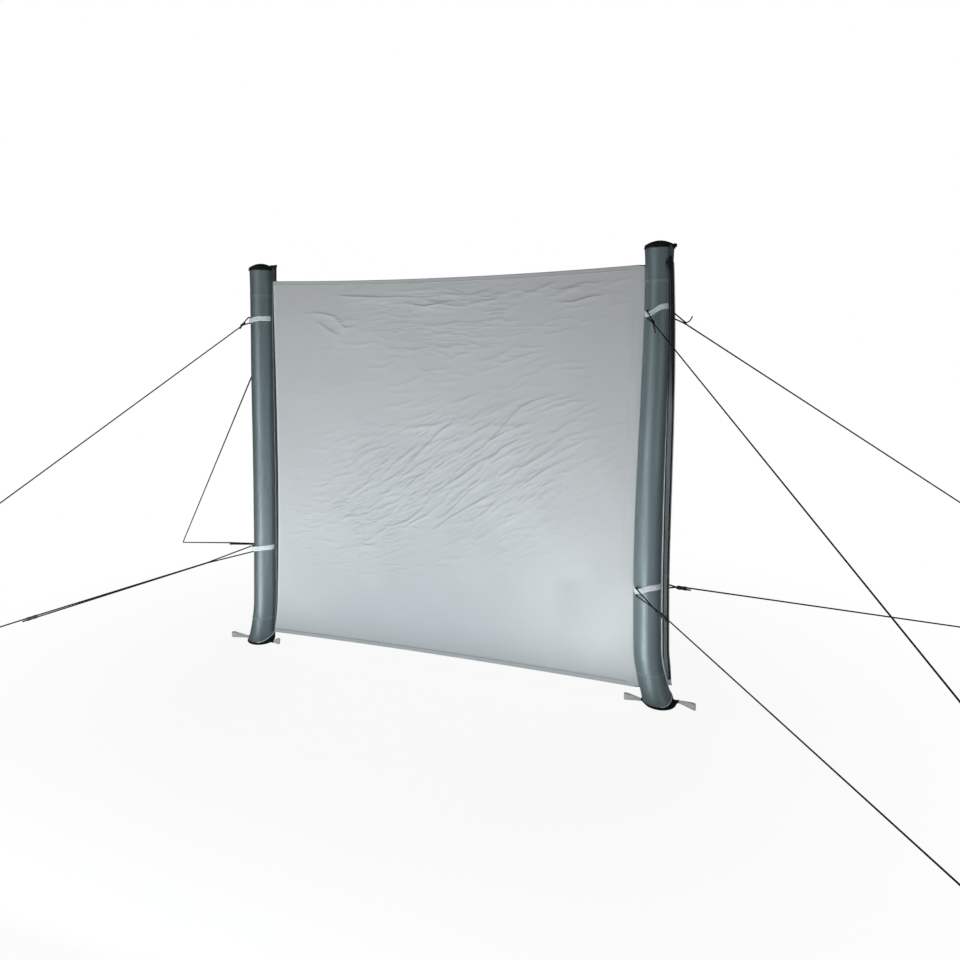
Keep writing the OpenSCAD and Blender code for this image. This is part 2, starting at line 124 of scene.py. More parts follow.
def ripples(a, b, size, seed, waves=14):
    """Soft unevenness of cloth: waves of many directions added up, about 1 high at the most."""
    draw = np.random.default_rng(seed)
    total = 0 * (a + b)
    for _ in range(waves):
        way = draw.uniform(0, math.tau)
        length = size * draw.uniform(0.6, 1.8)
        phase = draw.uniform(0, math.tau)
        total = total + np.sin(math.tau * (a * math.cos(way) + b * math.sin(way)) / length + phase)
    return total / math.sqrt(2 * waves)


def as_seen(red, green, blue):
    """A colour as it looks, in steps of 0 to 255, as the linear light that the shaders take."""
    steps = np.array([red, green, blue]) / 255
    return tuple(np.where(steps <= 0.04045, steps / 12.92, ((steps + 0.055) / 1.055) ** 2.4))


def add_node(tree, kind, inputs, **settings):
    node = tree.nodes.new(kind)
    for name, value in settings.items():
        setattr(node, name, value)
    for name, value in inputs.items():
        if isinstance(value, bpy.types.NodeSocket):
            tree.links.new(value, node.inputs[name])
        else:
            node.inputs[name].default_value = value
    return node


def ramp(tree, value, low=0, high=1, start=0, end=1):
    """Output that goes from start to end as value goes from low to high."""
    inputs = {"Value": value, "From Min": low, "From Max": high, "To Min": start, "To Max": end}
    return add_node(tree, "ShaderNodeMapRange", inputs).outputs["Result"]


def worked_out(tree, operation, a, b=0):
    return add_node(tree, "ShaderNodeMath", {0: a, 1: b}, operation=operation).outputs["Value"]


def clouds(tree, place, scale, detail, roughness=0.5):
    inputs = {"Vector": place, "Scale": scale, "Detail": detail, "Roughness": roughness}
    return add_node(tree, "ShaderNodeTexNoise", inputs).outputs["Fac"]


def colour_sockets(sockets):
    return [socket for socket in sockets if socket.type == "RGBA"]


def drifting_tone(tree, share, shade, colour):
    """Colour output that goes from shade to colour as share goes from 0 to 1."""
    tone = add_node(tree, "ShaderNodeMix", {"Factor": share}, data_type="RGBA")
    for socket, value in zip(colour_sockets(tone.inputs), (shade, colour)):
        socket.default_value = (*as_seen(*value), 1)
    return colour_sockets(tone.outputs)[0]


def press_in(tree, height, distance, strength=1):
    """Adds fine relief to a finish, over the relief that it has already."""
    normal = tree.nodes["Principled BSDF"].inputs["Normal"]
    inputs = {"Height": height, "Distance": distance, "Strength": strength}
    if normal.links:
        inputs["Normal"] = normal.links[0].from_socket
    tree.links.new(add_node(tree, "ShaderNodeBump", inputs).outputs["Normal"], normal)


def new_finish(name):
    finish = bpy.data.materials.new(name)
    finish.use_nodes = True
    return finish, finish.node_tree, finish.node_tree.nodes["Principled BSDF"]


def cloth_place(tree):
    """Where a point lies on its cloth, in metres."""
    return add_node(tree, "ShaderNodeUVMap", {}, uv_map="UVMap").outputs["UV"]


def woven_finish(name, colour, shade, weave, roughness=0.62, streak=(9, 9), blotch=0.5, gloss=0.3):
    """Woven cloth or tape, in a tone that drifts between two colours.

    weave is the distance between threads and how far they stand out.
    """
    finish, tree, shader = new_finish(name)
    pitch, relief = weave
    place = cloth_place(tree)
    stretched = add_node(tree, "ShaderNodeMapping", {"Vector": place, "Scale": (*streak, 1)})
    spread = ramp(tree, clouds(tree, stretched.outputs["Vector"], 1, 5, blotch), *tone_drift)
    tree.links.new(drifting_tone(tree, spread, shade, colour), shader.inputs["Base Color"])
    dull = ramp(tree, spread, start=roughness + worn_dull, end=roughness - worn_shine)
    tree.links.new(dull, shader.inputs["Roughness"])
    # A wave texture runs through wave_rate radians a metre at a scale of 1.
    wave_scale = math.tau / wave_rate / pitch
    threads = [
        add_node(tree, "ShaderNodeTexWave",
                 {"Vector": place, "Scale": wave_scale, "Distortion": thread_wobble, "Detail": 1},
                 bands_direction=way).outputs["Fac"]
        for way in "XY"
    ]
    press_in(tree, worked_out(tree, "MAXIMUM", *threads), relief, thread_strength)
    shader.inputs["Specular IOR Level"].default_value = gloss
    return finish


def crossed(rows, columns):
    """The row's value and the column's value at every point of a cloth laid out in rows and columns."""
    return np.meshgrid(rows, columns, indexing="ij")


def grid_quads(rows, columns):
    """Faces of a cloth laid out in rows and columns of points."""
    row, column = np.mgrid[0:rows - 1, 0:columns - 1]
    corner = (row * columns + column).ravel()
    return np.stack([corner, corner + 1, corner + columns + 1, corner + columns], 1).tolist()


def make_piece(name, points, faces, uv, finish, slot, stands_for=(), smooth=True):
    """One piece of the windbreak, in place. uv is in metres, so that every weave has its real size."""
    mesh = bpy.data.meshes.new(name)
    mesh.from_pydata(np.reshape(points, (-1, 3)).tolist(), [], faces)
    corners = np.empty(len(mesh.loops), np.int32)
    mesh.loops.foreach_get("vertex_index", corners)
    layer = mesh.uv_layers.new(name="UVMap")
    layer.data.foreach_set("uv", np.reshape(uv, (-1, 2))[corners].astype(np.float32).ravel())
    mesh.polygons.foreach_set("use_smooth", [smooth] * len(mesh.polygons))
    mesh.materials.append(finish)
    piece = bpy.data.objects.new(name, mesh)
    bpy.context.scene.collection.objects.link(piece)
    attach(piece, "root")
    if stands_for:
        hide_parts(*stands_for)
    return piece


def puckers(turn):
    """Gathers round a sewn end, from -1 to 1."""
    uneven = gather_sway * np.sin(np.radians(gather_sway_count * turn))
    return np.cos(np.radians(gather_count * turn) + uneven)


def sleeve_relief(side, z, turn):
    """How far the sewn and filled sleeve stands out from a plain round tube."""
    out = 0 * z
    for seam in (inner_seam(side, z), outer_seam(side, z)):
        arc = tube_r * np.abs(np.radians((turn - seam + 180) % 360 - 180))
        out = out + seam_welt * np.exp(-arc / welt_reach)
    gathers = gather_depth * puckers(turn)
    out = out + gathers * np.exp((z - sleeve_top_z) / gather_reach)
    out = out + gathers * np.exp((sleeve_low_z - z) / gather_reach)
    for lap_z in (body_low_z, body_top_z):
        out = out + lap_lift * np.exp(-((z - lap_z) / lap_w) ** 4)
    slack = ripples(tube_r * np.radians(turn), z * slack_stretch, slack_size, slack_seed[side])
    return out + slack_depth * slack


sleeve_cloth = woven_finish("slate_sleeve_cloth", (76, 90, 94), (70, 83, 87), sleeve_weave, roughness=0.48,
                            streak=(40, 3), gloss=1)
sleeve_shader = sleeve_cloth.node_tree.nodes["Principled BSDF"]
sleeve_shader.inputs["IOR"].default_value = sleeve_coat_ior
sleeve_shader.inputs["Specular Tint"].default_value = sleeve_gloss_tint
sleeve_lengths = {
    "tube_foot_section": (sleeve_low_z, body_low_z),
    "tube": (body_low_z, body_top_z),
    "tube_top_section": (body_top_z, sleeve_top_z),
}
for side in sides:
    for length_name, (low, high) in sleeve_lengths.items():
        rows = int((high - low) / sleeve_step) + 2
        start = 0 if side == "left" else 180
        turns = np.linspace(start, start + 360, sleeve_columns + 1)
        z, turn = crossed(np.linspace(low, high, rows), turns)
        points = on_tube(side, z, radius(z) + sleeve_relief(side, z, turn), turn)
        uv = np.stack([tube_r * np.radians(turn), z], -1)
        node = f"{side}_{length_name}"
        make_piece(node.replace("tube", "sleeve"), points, grid_quads(rows, sleeve_columns + 1), uv,
                   sleeve_cloth, "sleeve", [node])


# Sleeve stitching
# Two rows of lock stitches in grey thread hold each lap, where an end length of sleeve is sewn on.
# The same small lens of thread serves for every seam of the windbreak.
stitch_pitch = 0.0042
stitch_share = 0.74
stitch_crown, stitch_sink = 1.6, 0.6
thread_r = 0.00045
thread_twist = (0.0008, 0.0001)
lap_row_gap = 0.003
lap_thread_r = 0.0010
lap_row_points = 121


def run_along(path):
    """How far along a path each of its points lies."""
    return np.concatenate([[0], np.cumsum(np.linalg.norm(np.diff(path, axis=0), axis=1))])


def resample(path, spacing):
    """Evenly spaced points on a path."""
    run = run_along(path)
    at = np.linspace(0, run[-1], max(2, int(round(run[-1] / spacing)) + 1))
    return np.stack([np.interp(at, run, path[:, k]) for k in range(3)], 1)


def unit(vectors):
    vectors = np.asarray(vectors, float)
    return vectors / np.linalg.norm(vectors, axis=-1, keepdims=True)


def stitch_row(path, out, pitch=stitch_pitch, thick=thread_r):
    """Stitches along a path. out is the direction in which the cloth faces, one for all or one a point."""
    path = np.asarray(path, float)
    spots = resample(path, pitch)
    facing = np.broadcast_to(out, path.shape)
    steps = np.linspace(0, 1, len(spots))
    shares = np.linspace(0, 1, len(path))
    facing = unit(np.stack([np.interp(steps, shares, facing[:, k]) for k in range(3)], 1))[:-1]
    start = spots[:-1]
    end = start + (spots[1:] - start) * stitch_share
    middle = (start + end) / 2
    across = unit(np.cross(end - start, facing)) * thick
    crown, back = middle + facing * thick * stitch_crown, middle - facing * thick * stitch_sink
    points = np.stack([start, end, crown, back, middle + across, middle - across], 1)
    lens = np.array([[0, 4, 2], [4, 1, 2], [1, 5, 2], [5, 0, 2], [4, 0, 3], [1, 4, 3], [5, 1, 3], [0, 5, 3]])
    faces = (np.arange(len(points))[:, None, None] * 6 + lens).reshape(-1, 3)
    return points.reshape(-1, 3), faces.tolist()


def joined(parts):
    """Several lots of points and faces as one mesh."""
    points, faces, count = [], [], 0
    for part_points, part_faces in parts:
        part_points = np.reshape(part_points, (-1, 3))
        points.append(part_points)
        faces.extend([[index + count for index in face] for face in part_faces])
        count += len(part_points)
    return np.concatenate(points), faces


def make_joined(name, parts, finish, slot, stands_for=(), smooth=True):
    """One piece made of several lots of points and faces, such as rows of stitches.

    A lot may bring its uv as well. Without one its cloth lies as it is seen from the front.
    """
    points, faces = joined([part[:2] for part in parts])
    uv = [part[2] if len(part) > 2 else np.reshape(part[0], (-1, 3))[:, [0, 2]] for part in parts]
    uv = np.concatenate([np.reshape(part_uv, (-1, 2)) for part_uv in uv])
    return make_piece(name, points, faces, uv, finish, slot, stands_for, smooth)


grey_thread = woven_finish("grey_thread", (205, 216, 219), (190, 202, 206), thread_twist)
for side in sides:
    rows = []
    for lap_z in (body_low_z, body_top_z):
        for row_z in (lap_z - lap_row_gap, lap_z + lap_row_gap):
            turn = np.linspace(0, 360, lap_row_points)
            z = np.full_like(turn, row_z)
            ring = on_tube(side, z, radius(z) + sleeve_relief(side, z, turn) + thread_r / 2, turn)
            facing = on_tube(side, z, 1, turn) - on_tube(side, z, 0, turn)
            rows.append(stitch_row(ring, facing, stitch_pitch, lap_thread_r))
    make_joined(f"{side}_sleeve_stitching", rows, grey_thread, "sleeve")


# Caps and foot cups
# Stiff black cloth closes both ends of a sleeve: a domed disc on top and a flat-soled cup at the foot. Bound
# edges hold them to the sleeve and end in a bunched corner on the right, where the cup also climbs up the
# sleeve under a pale piping. The cup is gathered into a short ear round the root of each peg loop.
rim_over = {"left": 0.014, "right": 0.006}
rim_h = 0.012
dome_rise = {"left": 0, "right": 0.005}
dome_shares = (0.985, 0.01)
rim_tuck = 0.004
cup_h = sleeve_low_z
cup_high_h = 0.046
cup_high_turn = 20
cup_edge_r, cup_edge_h = 0.018, 0.012
sole_z = 0.0002
sole_mid_r = 0.0005
cup_wall_shares = (0.12, 1)
binding_r = 0.0022
cap_columns = 128
cap_turns = np.linspace(0, 360, cap_columns + 1)
spokes = np.stack([np.cos(np.radians(cap_turns)), np.sin(np.radians(cap_turns)), 0 * cap_turns], 1)
cap_edge_r = top_r + cap_proud
sole_r = foot_r + cap_proud
pucker_depth = 0.0009
corner_size, corner_square = (0.0085, 0.0070, 0.0085), 3
corner_z = height - 0.0185
cup_piping_r = {"left": 0.0022, "right": 0.0014}
cup_piping_turns = (-75, 85)
cord_columns = 14
dome_rows, cup_edge_rows, cup_wall_rows = 14, 7, 8
cup_piping_points = 60
lump_rows, lump_columns = 17, 29
cap_weave, piping_weave = (0.0016, 0.0003), (0.0012, 0.0002)
ear_reach = {"left_outer": 0.010, "left_inner": 0.008, "right_inner": 0.010, "right_outer": 0.010}
loop_rise = {"left_outer": 0.006, "left_inner": 0, "right_inner": 0.002, "right_outer": 0.020}
ear_root_h = {"left_outer": 0.016, "left_inner": 0.024, "right_inner": 0.018, "right_outer": 0.032}
ear_tuck = 0.012
ear_root_w = 0.020
ear_tip_h = 0.014
ear_tip_w = 0.005
ear_taper = 1.5
ear_rows, ear_columns = 9, 24
black_cloth = woven_finish("black_cap_cloth", (27, 27, 29), (17, 17, 19), cap_weave, roughness=0.7,
                           streak=(25, 25))
dark_thread = woven_finish("dark_thread", (62, 64, 66), (44, 46, 48), thread_twist)


def piping_finish(name, colour, shade):
    return woven_finish(name, colour, shade, piping_weave, roughness=0.55, streak=(60, 12))


pale_piping = piping_finish("pale_piping", (232, 240, 243), (222, 230, 233))


def up_by(rise):
    return np.array([0, 0, rise])


def foot_spot(side):
    return np.array([foot_x[side], 0, 0])


def half_round(r, z, size, steps=6):
    """Profile of a rolled binding that bulges outwards, from its lower edge to its upper one."""
    turns = np.linspace(-math.pi / 2, math.pi / 2, steps)
    return [(r + size * math.cos(t), z + size * math.sin(t)) for t in turns]


def squared(value, square):
    """A sine or cosine changed so that a round outline nears a box: square 2 leaves it round."""
    return np.sign(value) * np.abs(value) ** (2 / square)


def lump(centre, size, square, turn=0):
    """A rounded lump, between an egg and a box: square 2 is an egg. turn swings it about the upright."""
    rises = np.linspace(-math.pi / 2, math.pi / 2, lump_rows)
    up, way = crossed(rises, np.linspace(0, math.tau, lump_columns))
    along = squared(np.cos(up), square) * squared(np.cos(way), square) * size[0]
    across = squared(np.cos(up), square) * squared(np.sin(way), square) * size[1]
    rise = squared(np.sin(up), square) * size[2]
    swing = math.radians(turn)
    points = np.stack([along * math.cos(swing) - across * math.sin(swing),
                       along * math.sin(swing) + across * math.cos(swing), rise], -1)
    return (points + np.asarray(centre)).reshape(-1, 3), grid_quads(*up.shape)


def closed_tube(rows, columns):
    """Faces of a tube of rings, with both ends closed."""
    last = (rows - 1) * columns
    ends = [list(range(columns - 1))[::-1], [last + k for k in range(columns - 1)]]
    return grid_quads(rows, columns) + ends


def flat_uv(rows, columns):
    """Place on the flat cloth, from how far up its rows lie and how far along its columns lie."""
    return np.stack(crossed(rows, columns)[::-1], -1)


def cord(path, r):
    """Round cord along a path, cut square at its ends."""
    way = unit(np.gradient(path, axis=0))
    level = np.cross(way, [0, 0, 1])
    level[np.linalg.norm(level, axis=1) < 1e-3] = [1, 0, 0]
    level = unit(level)
    up = np.cross(level, way)
    turn = np.linspace(0, math.tau, cord_columns + 1)[:, None]
    rings = path[:, None] + r * (level[:, None] * np.cos(turn) + up[:, None] * np.sin(turn))
    uv = flat_uv(run_along(path), turn[:, 0] * r)
    return rings.reshape(-1, 3), closed_tube(len(path), cord_columns + 1), uv.reshape(-1, 2)


def cup_top(turn):
    """Height of the cup's upper edge, which climbs towards the right of the foot."""
    climb = np.clip(np.cos(np.radians(turn - cup_high_turn)), 0, 1) ** 2
    return cup_h + (cup_high_h - cup_h) * climb


def cup_wall(side, turn, z):
    return on_tube(side, z, radius(z) + sleeve_relief(side, z, turn) + cap_proud, turn)


def outward(side, edge):
    """1 where a tube's edge faces +X, -1 where it faces -X."""
    return 1 if (edge == "outer") == (side == "right") else -1


def ear(side, edge):
    """Black cloth gathered round the root of a peg loop, from the cup outwards and up."""
    name = f"{side}_{edge}"
    share = np.linspace(0, 1, ear_rows)
    root = foot_r - ear_tuck
    x = foot_x[side] + outward(side, edge) * (root + share * (ear_tuck + cap_proud + ear_reach[name]))
    tall = ear_tip_h + (ear_root_h[name] - ear_tip_h) * (1 - share) ** ear_taper
    wide = ear_tip_w + (ear_root_w - ear_tip_w) * (1 - share) ** ear_taper
    around = np.linspace(0, math.tau, ear_columns + 1)
    y = np.outer(wide / 2, np.cos(around))
    z = (tall / 2 + sole_z + loop_rise[name] * share)[:, None] + np.outer(tall / 2, np.sin(around))
    rings = np.stack([np.broadcast_to(x[:, None], y.shape), y, z], -1)
    tip = (len(share) - 1) * len(around)
    return rings, grid_quads(*y.shape) + [[tip + k for k in range(len(around) - 1)]]


def make_cap(side, rim_low):
    """The disc on top of a tube: its rolled rim, its dome and the bunched corner where its binding ends."""
    rim_top = rim_low + rim_h
    rise = height + dome_rise[side] - rim_top
    dome = [(cap_edge_r * s, rim_top + rise * (1 - s * s)) for s in np.linspace(*dome_shares, dome_rows)]
    profile = ([(cap_edge_r - cap_proud, rim_low - rim_tuck)] + half_round(cap_edge_r, rim_low, binding_r)
               + [(cap_edge_r, rim_low + rim_tuck), (cap_edge_r, rim_top - binding_r)] + dome)
    rings = []
    for share, (r, z) in zip(np.linspace(0, 1, len(profile)), profile):
        out = r + pucker_depth * (1 - share) * puckers(cap_turns)
        rings.append(foot_spot(side) + spokes * out[:, None] + up_by(z))
    uv = np.stack(crossed(run_along(profile), np.radians(cap_turns) * top_r), -1)
    disc = rings, grid_quads(len(profile), cap_columns + 1), uv
    corner = lump((foot_x[side] + cap_edge_r + cap_proud, 0, corner_z), corner_size, corner_square)
    make_joined(f"{side}_cap", [disc, corner], black_cloth, "cap", [f"{side}_top_cap"])


def make_cup(side):
    """The cup under a tube: its flat sole, its rolled upper edge with the piping, and its two ears."""
    foot = foot_spot(side)
    rings = [foot + spokes * r + up_by(sole_z) for r in (sole_mid_r, sole_r / 2)]
    for t in np.linspace(0, math.pi / 2, cup_edge_rows):
        r = sole_r - cup_edge_r * (1 - math.sin(t))
        rings.append(foot + spokes * r + up_by(cup_edge_h * (1 - math.cos(t)) + sole_z))
    top = cup_top(cap_turns)
    for share in np.linspace(*cup_wall_shares, cup_wall_rows):
        rings.append(cup_wall(side, cap_turns, cup_edge_h + share * (top - cup_edge_h)))
    edge = cup_wall(side, cap_turns, top)
    rings += [edge + spokes * r + up_by(z) for r, z in half_round(0, 0, binding_r)]
    rings.append(edge - spokes * cap_proud)
    cup = rings, grid_quads(len(rings), cap_columns + 1)
    make_joined(f"{side}_cup", [cup, ear(side, "outer"), ear(side, "inner")], black_cloth, "cap",
                [f"{side}_foot_cap"])
    bead = np.linspace(*cup_piping_turns, cup_piping_points)
    bead_r = cup_piping_r[side]
    bead_path = cup_wall(side, bead, cup_top(bead) + binding_r) + up_by(bead_r)
    make_piece(f"{side}_cup_piping", *cord(bead_path, bead_r), pale_piping, "flange")


for side in sides:
    rim_low = sleeve_top_z - rim_over[side]
    make_cap(side, rim_low)
    make_cup(side)
    rim_row = foot_spot(side) + spokes * (cap_edge_r + cap_proud) + up_by(rim_low + rim_tuck + binding_r)
    cup_row = cup_wall(side, cap_turns, cup_top(cap_turns) - 3 * binding_r) + spokes * thread_r
    make_joined(f"{side}_cap_stitching", [stitch_row(rim_row, spokes), stitch_row(cup_row, spokes)],
                dark_thread, "cap")


# Zip flanges
# A flange is a double strip of cloth caught in the sleeve's side seam, with the zip sewn along its edge. An
# outer one is grey with a fat pale piping below, and charcoal under a folded black placket above; its piping
# is painted darker above as shade, and a black tape beside it paints the shadow of the groove. An inner one
# is charcoal with its piping painted grey as shade, and black binding closes the left one's free upper end.
flange_w = 0.036
zip_w = 0.008
flange_r = tube_r + flange_w
zip_r = flange_r - zip_w
flange_t = 0.002
half_flange = flange_t / 2
fit = 0.0003
hem_over = 0.001
outer_zip_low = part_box("right_outer_zip")[0].z
outer_zip_end = 0.009
outer_zip_draw = 0.110
flange_step = 0.012
flange_wave = 0.0012
charcoal_z = 1.38
piping_painted_shade_z = 1.30
fade_h = 0.12
piping_bulge = 0.0021
outer_piping_w = 0.0078
outer_piping_thin = (0.65, 1.10)
piping_least = 0.42
# A black tape beside the outer piping: the painted shadow of the groove there.
shadow_tape_w, shadow_tape_t = 0.0040, 0.0012
inner_piping_w = 0.006
inner_piping_off = 0.012
placket_near, placket_far = 0.071, 0.085
placket_t = 0.0018
placket_end, placket_full = 1.30, 1.62
placket_drop = 0.05
placket_least = 0.2
flag_root_z = (1.852, 1.925)
flag_root_r, flag_tip_r = 0.076, 0.0645
flag_tip_z, flag_tip_h = 1.905, 0.006
flag_tip_turn = -57
flag_off_turn = 2.5
flag_t = 0.0012
binding_at, binding_w, binding_t = 0.0905, 0.0050, 0.0024
binding_over = 0.008
over_cord_r = 2.7 * binding_t
knob_size, knob_square = (1.5 * binding_w, 2 * binding_t, binding_over), 2.5
flange_swell_size = 0.25
flange_seed = {"left_inner": 20, "left_outer": 21, "right_inner": 22, "right_outer": 23}
charcoal = (64, 65, 67)
# Dark grey that paints shade on the outer piping's upper length.
piping_painted_shade = (84, 88, 90)
# Pale stitches that paint the glint along the outer zip's teeth.
glint_pitch, glint_r, glint_points = 0.0062, 0.0008, 160
piping_columns, binding_columns = 12, 16
flag_points = 9
flange_cloth = woven_finish("grey_flange_cloth", (112, 120, 122), (94, 102, 104), cap_weave, roughness=0.68,
                            streak=(60, 6))
charcoal_cloth = woven_finish("charcoal_flange_cloth", charcoal, (52, 53, 55), cap_weave, roughness=0.68,
                              streak=(60, 6))
outer_piping = piping_finish("pale_outer_piping", (232, 240, 243), (222, 230, 233))
# The inner piping is the pale piping painted grey: painted shade, where the tube keeps light off it.
inner_piping_painted_shade = piping_finish("inner_piping_painted_shade", (126, 136, 138), (112, 122, 124))
seams = {"inner": inner_seam, "outer": outer_seam}
seam_rows = [(side, edge) for side in sides for edge in seams]


def reach_up(node):
    """Heights of a node's lowest and highest points."""
    return [corner.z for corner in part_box(node)]


panel_low, panel_top = reach_up("left_inner_zip")


def recoloured_above(finish, level, colour):
    """Gives a finish another colour above a height: charcoal on the outer flange, painted shade on the outer
    piping.
    """
    tree = finish.node_tree
    base = tree.nodes["Principled BSDF"].inputs["Base Color"]
    up = add_node(tree, "ShaderNodeSeparateXYZ", {0: cloth_place(tree)}).outputs["Y"]
    over = ramp(tree, up, level - fade_h, level + fade_h)
    tone = add_node(tree, "ShaderNodeMix", {"Factor": over}, data_type="RGBA")
    lower, upper = colour_sockets(tone.inputs)
    tree.links.new(base.links[0].from_socket, lower)
    upper.default_value = (*as_seen(*colour), 1)
    tree.links.new(colour_sockets(tone.outputs)[0], base)


def on_flange(side, edge, z, r, lift):
    """Points on a flange: r from the tube's axis, and lift off its middle plane towards more turn."""
    turn = np.radians(seams[edge](side, z))
    along = np.stack([np.cos(turn), np.sin(turn), 0 * z], -1)
    off = np.stack([-np.sin(turn), np.cos(turn), 0 * z], -1)
    centre = np.stack([axis_x(side, z), 0 * z, z], -1)
    return centre + along * np.asarray(r)[..., None] + off * np.asarray(lift)[..., None]


def strip_on_flange(side, edge, low, high, section, sway=None):
    """A strip sewn along a flange. section(edge, z) gives its outline as (r, lift) at each height."""
    heights = np.linspace(low, high, int((high - low) / flange_step) + 2)
    outline = np.array([section(edge, z) for z in heights])
    z = np.broadcast_to(heights[:, None], outline.shape[:2])
    shift = 0 if sway is None else sway(outline[..., 0], z)
    points = on_flange(side, edge, z, outline[..., 0], outline[..., 1] + shift)
    return points, closed_tube(*outline.shape[:2]), flat_uv(heights, run_along(outline[0]))


def closed(outline):
    return outline + outline[:1]


def thick_sheet(front, thickness):
    """A small piece of cloth from the grid of points on its front, with its back and its cut edges."""
    back = front - unit(np.cross(np.gradient(front, axis=1), np.gradient(front, axis=0))) * thickness
    rows, columns = front.shape[:2]
    count = rows * columns
    spot = np.arange(count).reshape(rows, columns)
    rim = np.concatenate([spot[0], spot[1:, -1], spot[-1, -2::-1], spot[-2::-1, 0]])
    faces = grid_quads(rows, columns)
    faces += [[index + count for index in face[::-1]] for face in grid_quads(rows, columns)]
    faces += [[b, a, a + count, b + count] for a, b in zip(rim[:-1].tolist(), rim[1:].tolist())]
    points = np.concatenate([front.reshape(-1, 3), back.reshape(-1, 3)])
    return points, faces, points[:, [0, 2]]


def zip_start(edge, z):
    """Distance of a zip from the tube's axis. An outer zip draws in towards the tube at its lower end."""
    if edge == "inner":
        return zip_r + 0 * z
    drawn = np.clip(1 - (z - outer_zip_low) / outer_zip_draw, 0, 1) ** 2
    return zip_r + (radius(z) + outer_zip_end - zip_r) * drawn


def flange_sway(side, edge):
    """How far a flange waves off its plane: not at all at its root, and most at its free edge."""
    def sway(r, z):
        free = np.clip((r - tube_r) / flange_w, 0, 1)
        return flange_wave * free * ripples(r * 2, z, flange_swell_size, flange_seed[f"{side}_{edge}"])
    return sway


def outer_piping_width(z):
    return outer_piping_w * np.interp(z, outer_piping_thin, (1, piping_least))


def oval(at, wide, thick, columns):
    """Outline of a rolled edge as (r, lift), centred at a distance from the tube's axis."""
    turns = np.linspace(0, math.tau, columns + 1)
    return [(at + wide * math.cos(t), thick * math.sin(t)) for t in turns]


def flange_section(edge, z):
    root, end = radius(z) + fit, zip_start(edge, z) + hem_over
    return closed([(root, -half_flange), (end, -half_flange), (end + hem_over, 0), (end, half_flange),
                   (root, half_flange)])


def piping_section(edge, z):
    thick = half_flange + piping_bulge
    if edge == "inner":
        return oval(radius(z) + inner_piping_off, inner_piping_w / 2, thick, piping_columns)
    half_wide = outer_piping_width(z) / 2
    return oval(radius(z) + half_wide, half_wide, thick, piping_columns)


def shadow_tape_section(edge, z):
    near = radius(z) + outer_piping_width(z)
    far = near + shadow_tape_w
    face = half_flange + shadow_tape_t
    return closed([(near, -face), (far, -face), (far, face), (near, face)])


def placket_section(edge, z):
    wide = np.interp(z, (placket_end, placket_full), (placket_least, 1))
    near = placket_far - (placket_far - placket_near) * wide
    front = -half_flange - placket_t
    return closed([(near, -half_flange), (near + hem_over, front), (placket_far - hem_over, front),
                   (placket_far, -half_flange)])


def binding_section(edge, z):
    return oval(binding_at, binding_w, binding_t, binding_columns)


recoloured_above(flange_cloth, charcoal_z, charcoal)
# The outer piping is painted darker on its upper length: painted shade.
recoloured_above(outer_piping, piping_painted_shade_z, piping_painted_shade)
for side, edge in seam_rows:
    node = f"{side}_{edge}_flange"
    low, high = reach_up(node)
    sway = flange_sway(side, edge)
    # Inner flanges take the grey piping, which is painted shade.
    cloth, piping, piping_top = charcoal_cloth, inner_piping_painted_shade, panel_top
    if edge == "outer":
        cloth, piping, piping_top = flange_cloth, outer_piping, high
    strip = strip_on_flange(side, edge, low, high, flange_section, sway)
    make_piece(f"{node}_cloth", *strip, cloth, "flange", [node])
    strip = strip_on_flange(side, edge, low, piping_top, piping_section, sway)
    make_piece(f"{side}_{edge}_piping", *strip, piping, "flange")
    if edge == "outer":
        # The black tape beside the piping is painted shadow, the dark groove at the piping's edge.
        strip = strip_on_flange(side, edge, low + outer_zip_draw, high, shadow_tape_section, sway)
        make_piece(f"{side}_shadow_tape", *strip, black_cloth, "flange")
        strip = strip_on_flange(side, edge, placket_end, high - placket_drop, placket_section, sway)
        make_piece(f"{side}_placket", *strip, black_cloth, "flange")
        # Pale stitches along the zip draw the glint of its teeth: a painted highlight.
        z = np.linspace(outer_zip_low, charcoal_z, glint_points)
        r = zip_start(edge, z) - 3 * hem_over
        rows = []
        for lift in (-half_flange, half_flange):
            facing = on_flange(side, edge, z, r, lift + 0 * z) - on_flange(side, edge, z, r, 0 * z)
            row = on_flange(side, edge, z, r, lift + sway(r, z))
            rows.append(stitch_row(row, facing, glint_pitch, glint_r))
        make_joined(f"{side}_flange_glint_stitching", rows, pale_piping, "flange")
    elif high > panel_top + binding_over:
        strip = strip_on_flange(side, edge, panel_top - binding_over, high + binding_over, binding_section)
        edge_x = axis_x(side, high)
        over_z = high + 2 * binding_t
        far_end = np.array([edge_x + binding_at, 0, over_z])
        knob = lump(far_end, knob_size, knob_square)
        over = cord(np.array([(edge_x + top_r, 0, over_z), far_end]), over_cord_r)
        make_joined(f"{side}_flange_binding", [strip[:2], knob, over[:2]], black_cloth, "flange")

shares = np.linspace(0, 1, flag_points)
up, share = crossed(shares, shares)
root_z = flag_root_z[0] + up * (flag_root_z[1] - flag_root_z[0])
z = root_z + share * (flag_tip_z + flag_tip_h * (up - 0.5) - root_z)
turn = (outer_seam("right", root_z) - flag_off_turn) * (1 - share) + flag_tip_turn * share
r = flag_root_r + (flag_tip_r - flag_root_r) * share + 2 * flag_t * np.sin(math.pi * share)
make_piece("right_placket_corner", *thick_sheet(on_tube("right", z, r, turn), flag_t), black_cloth, "flange")


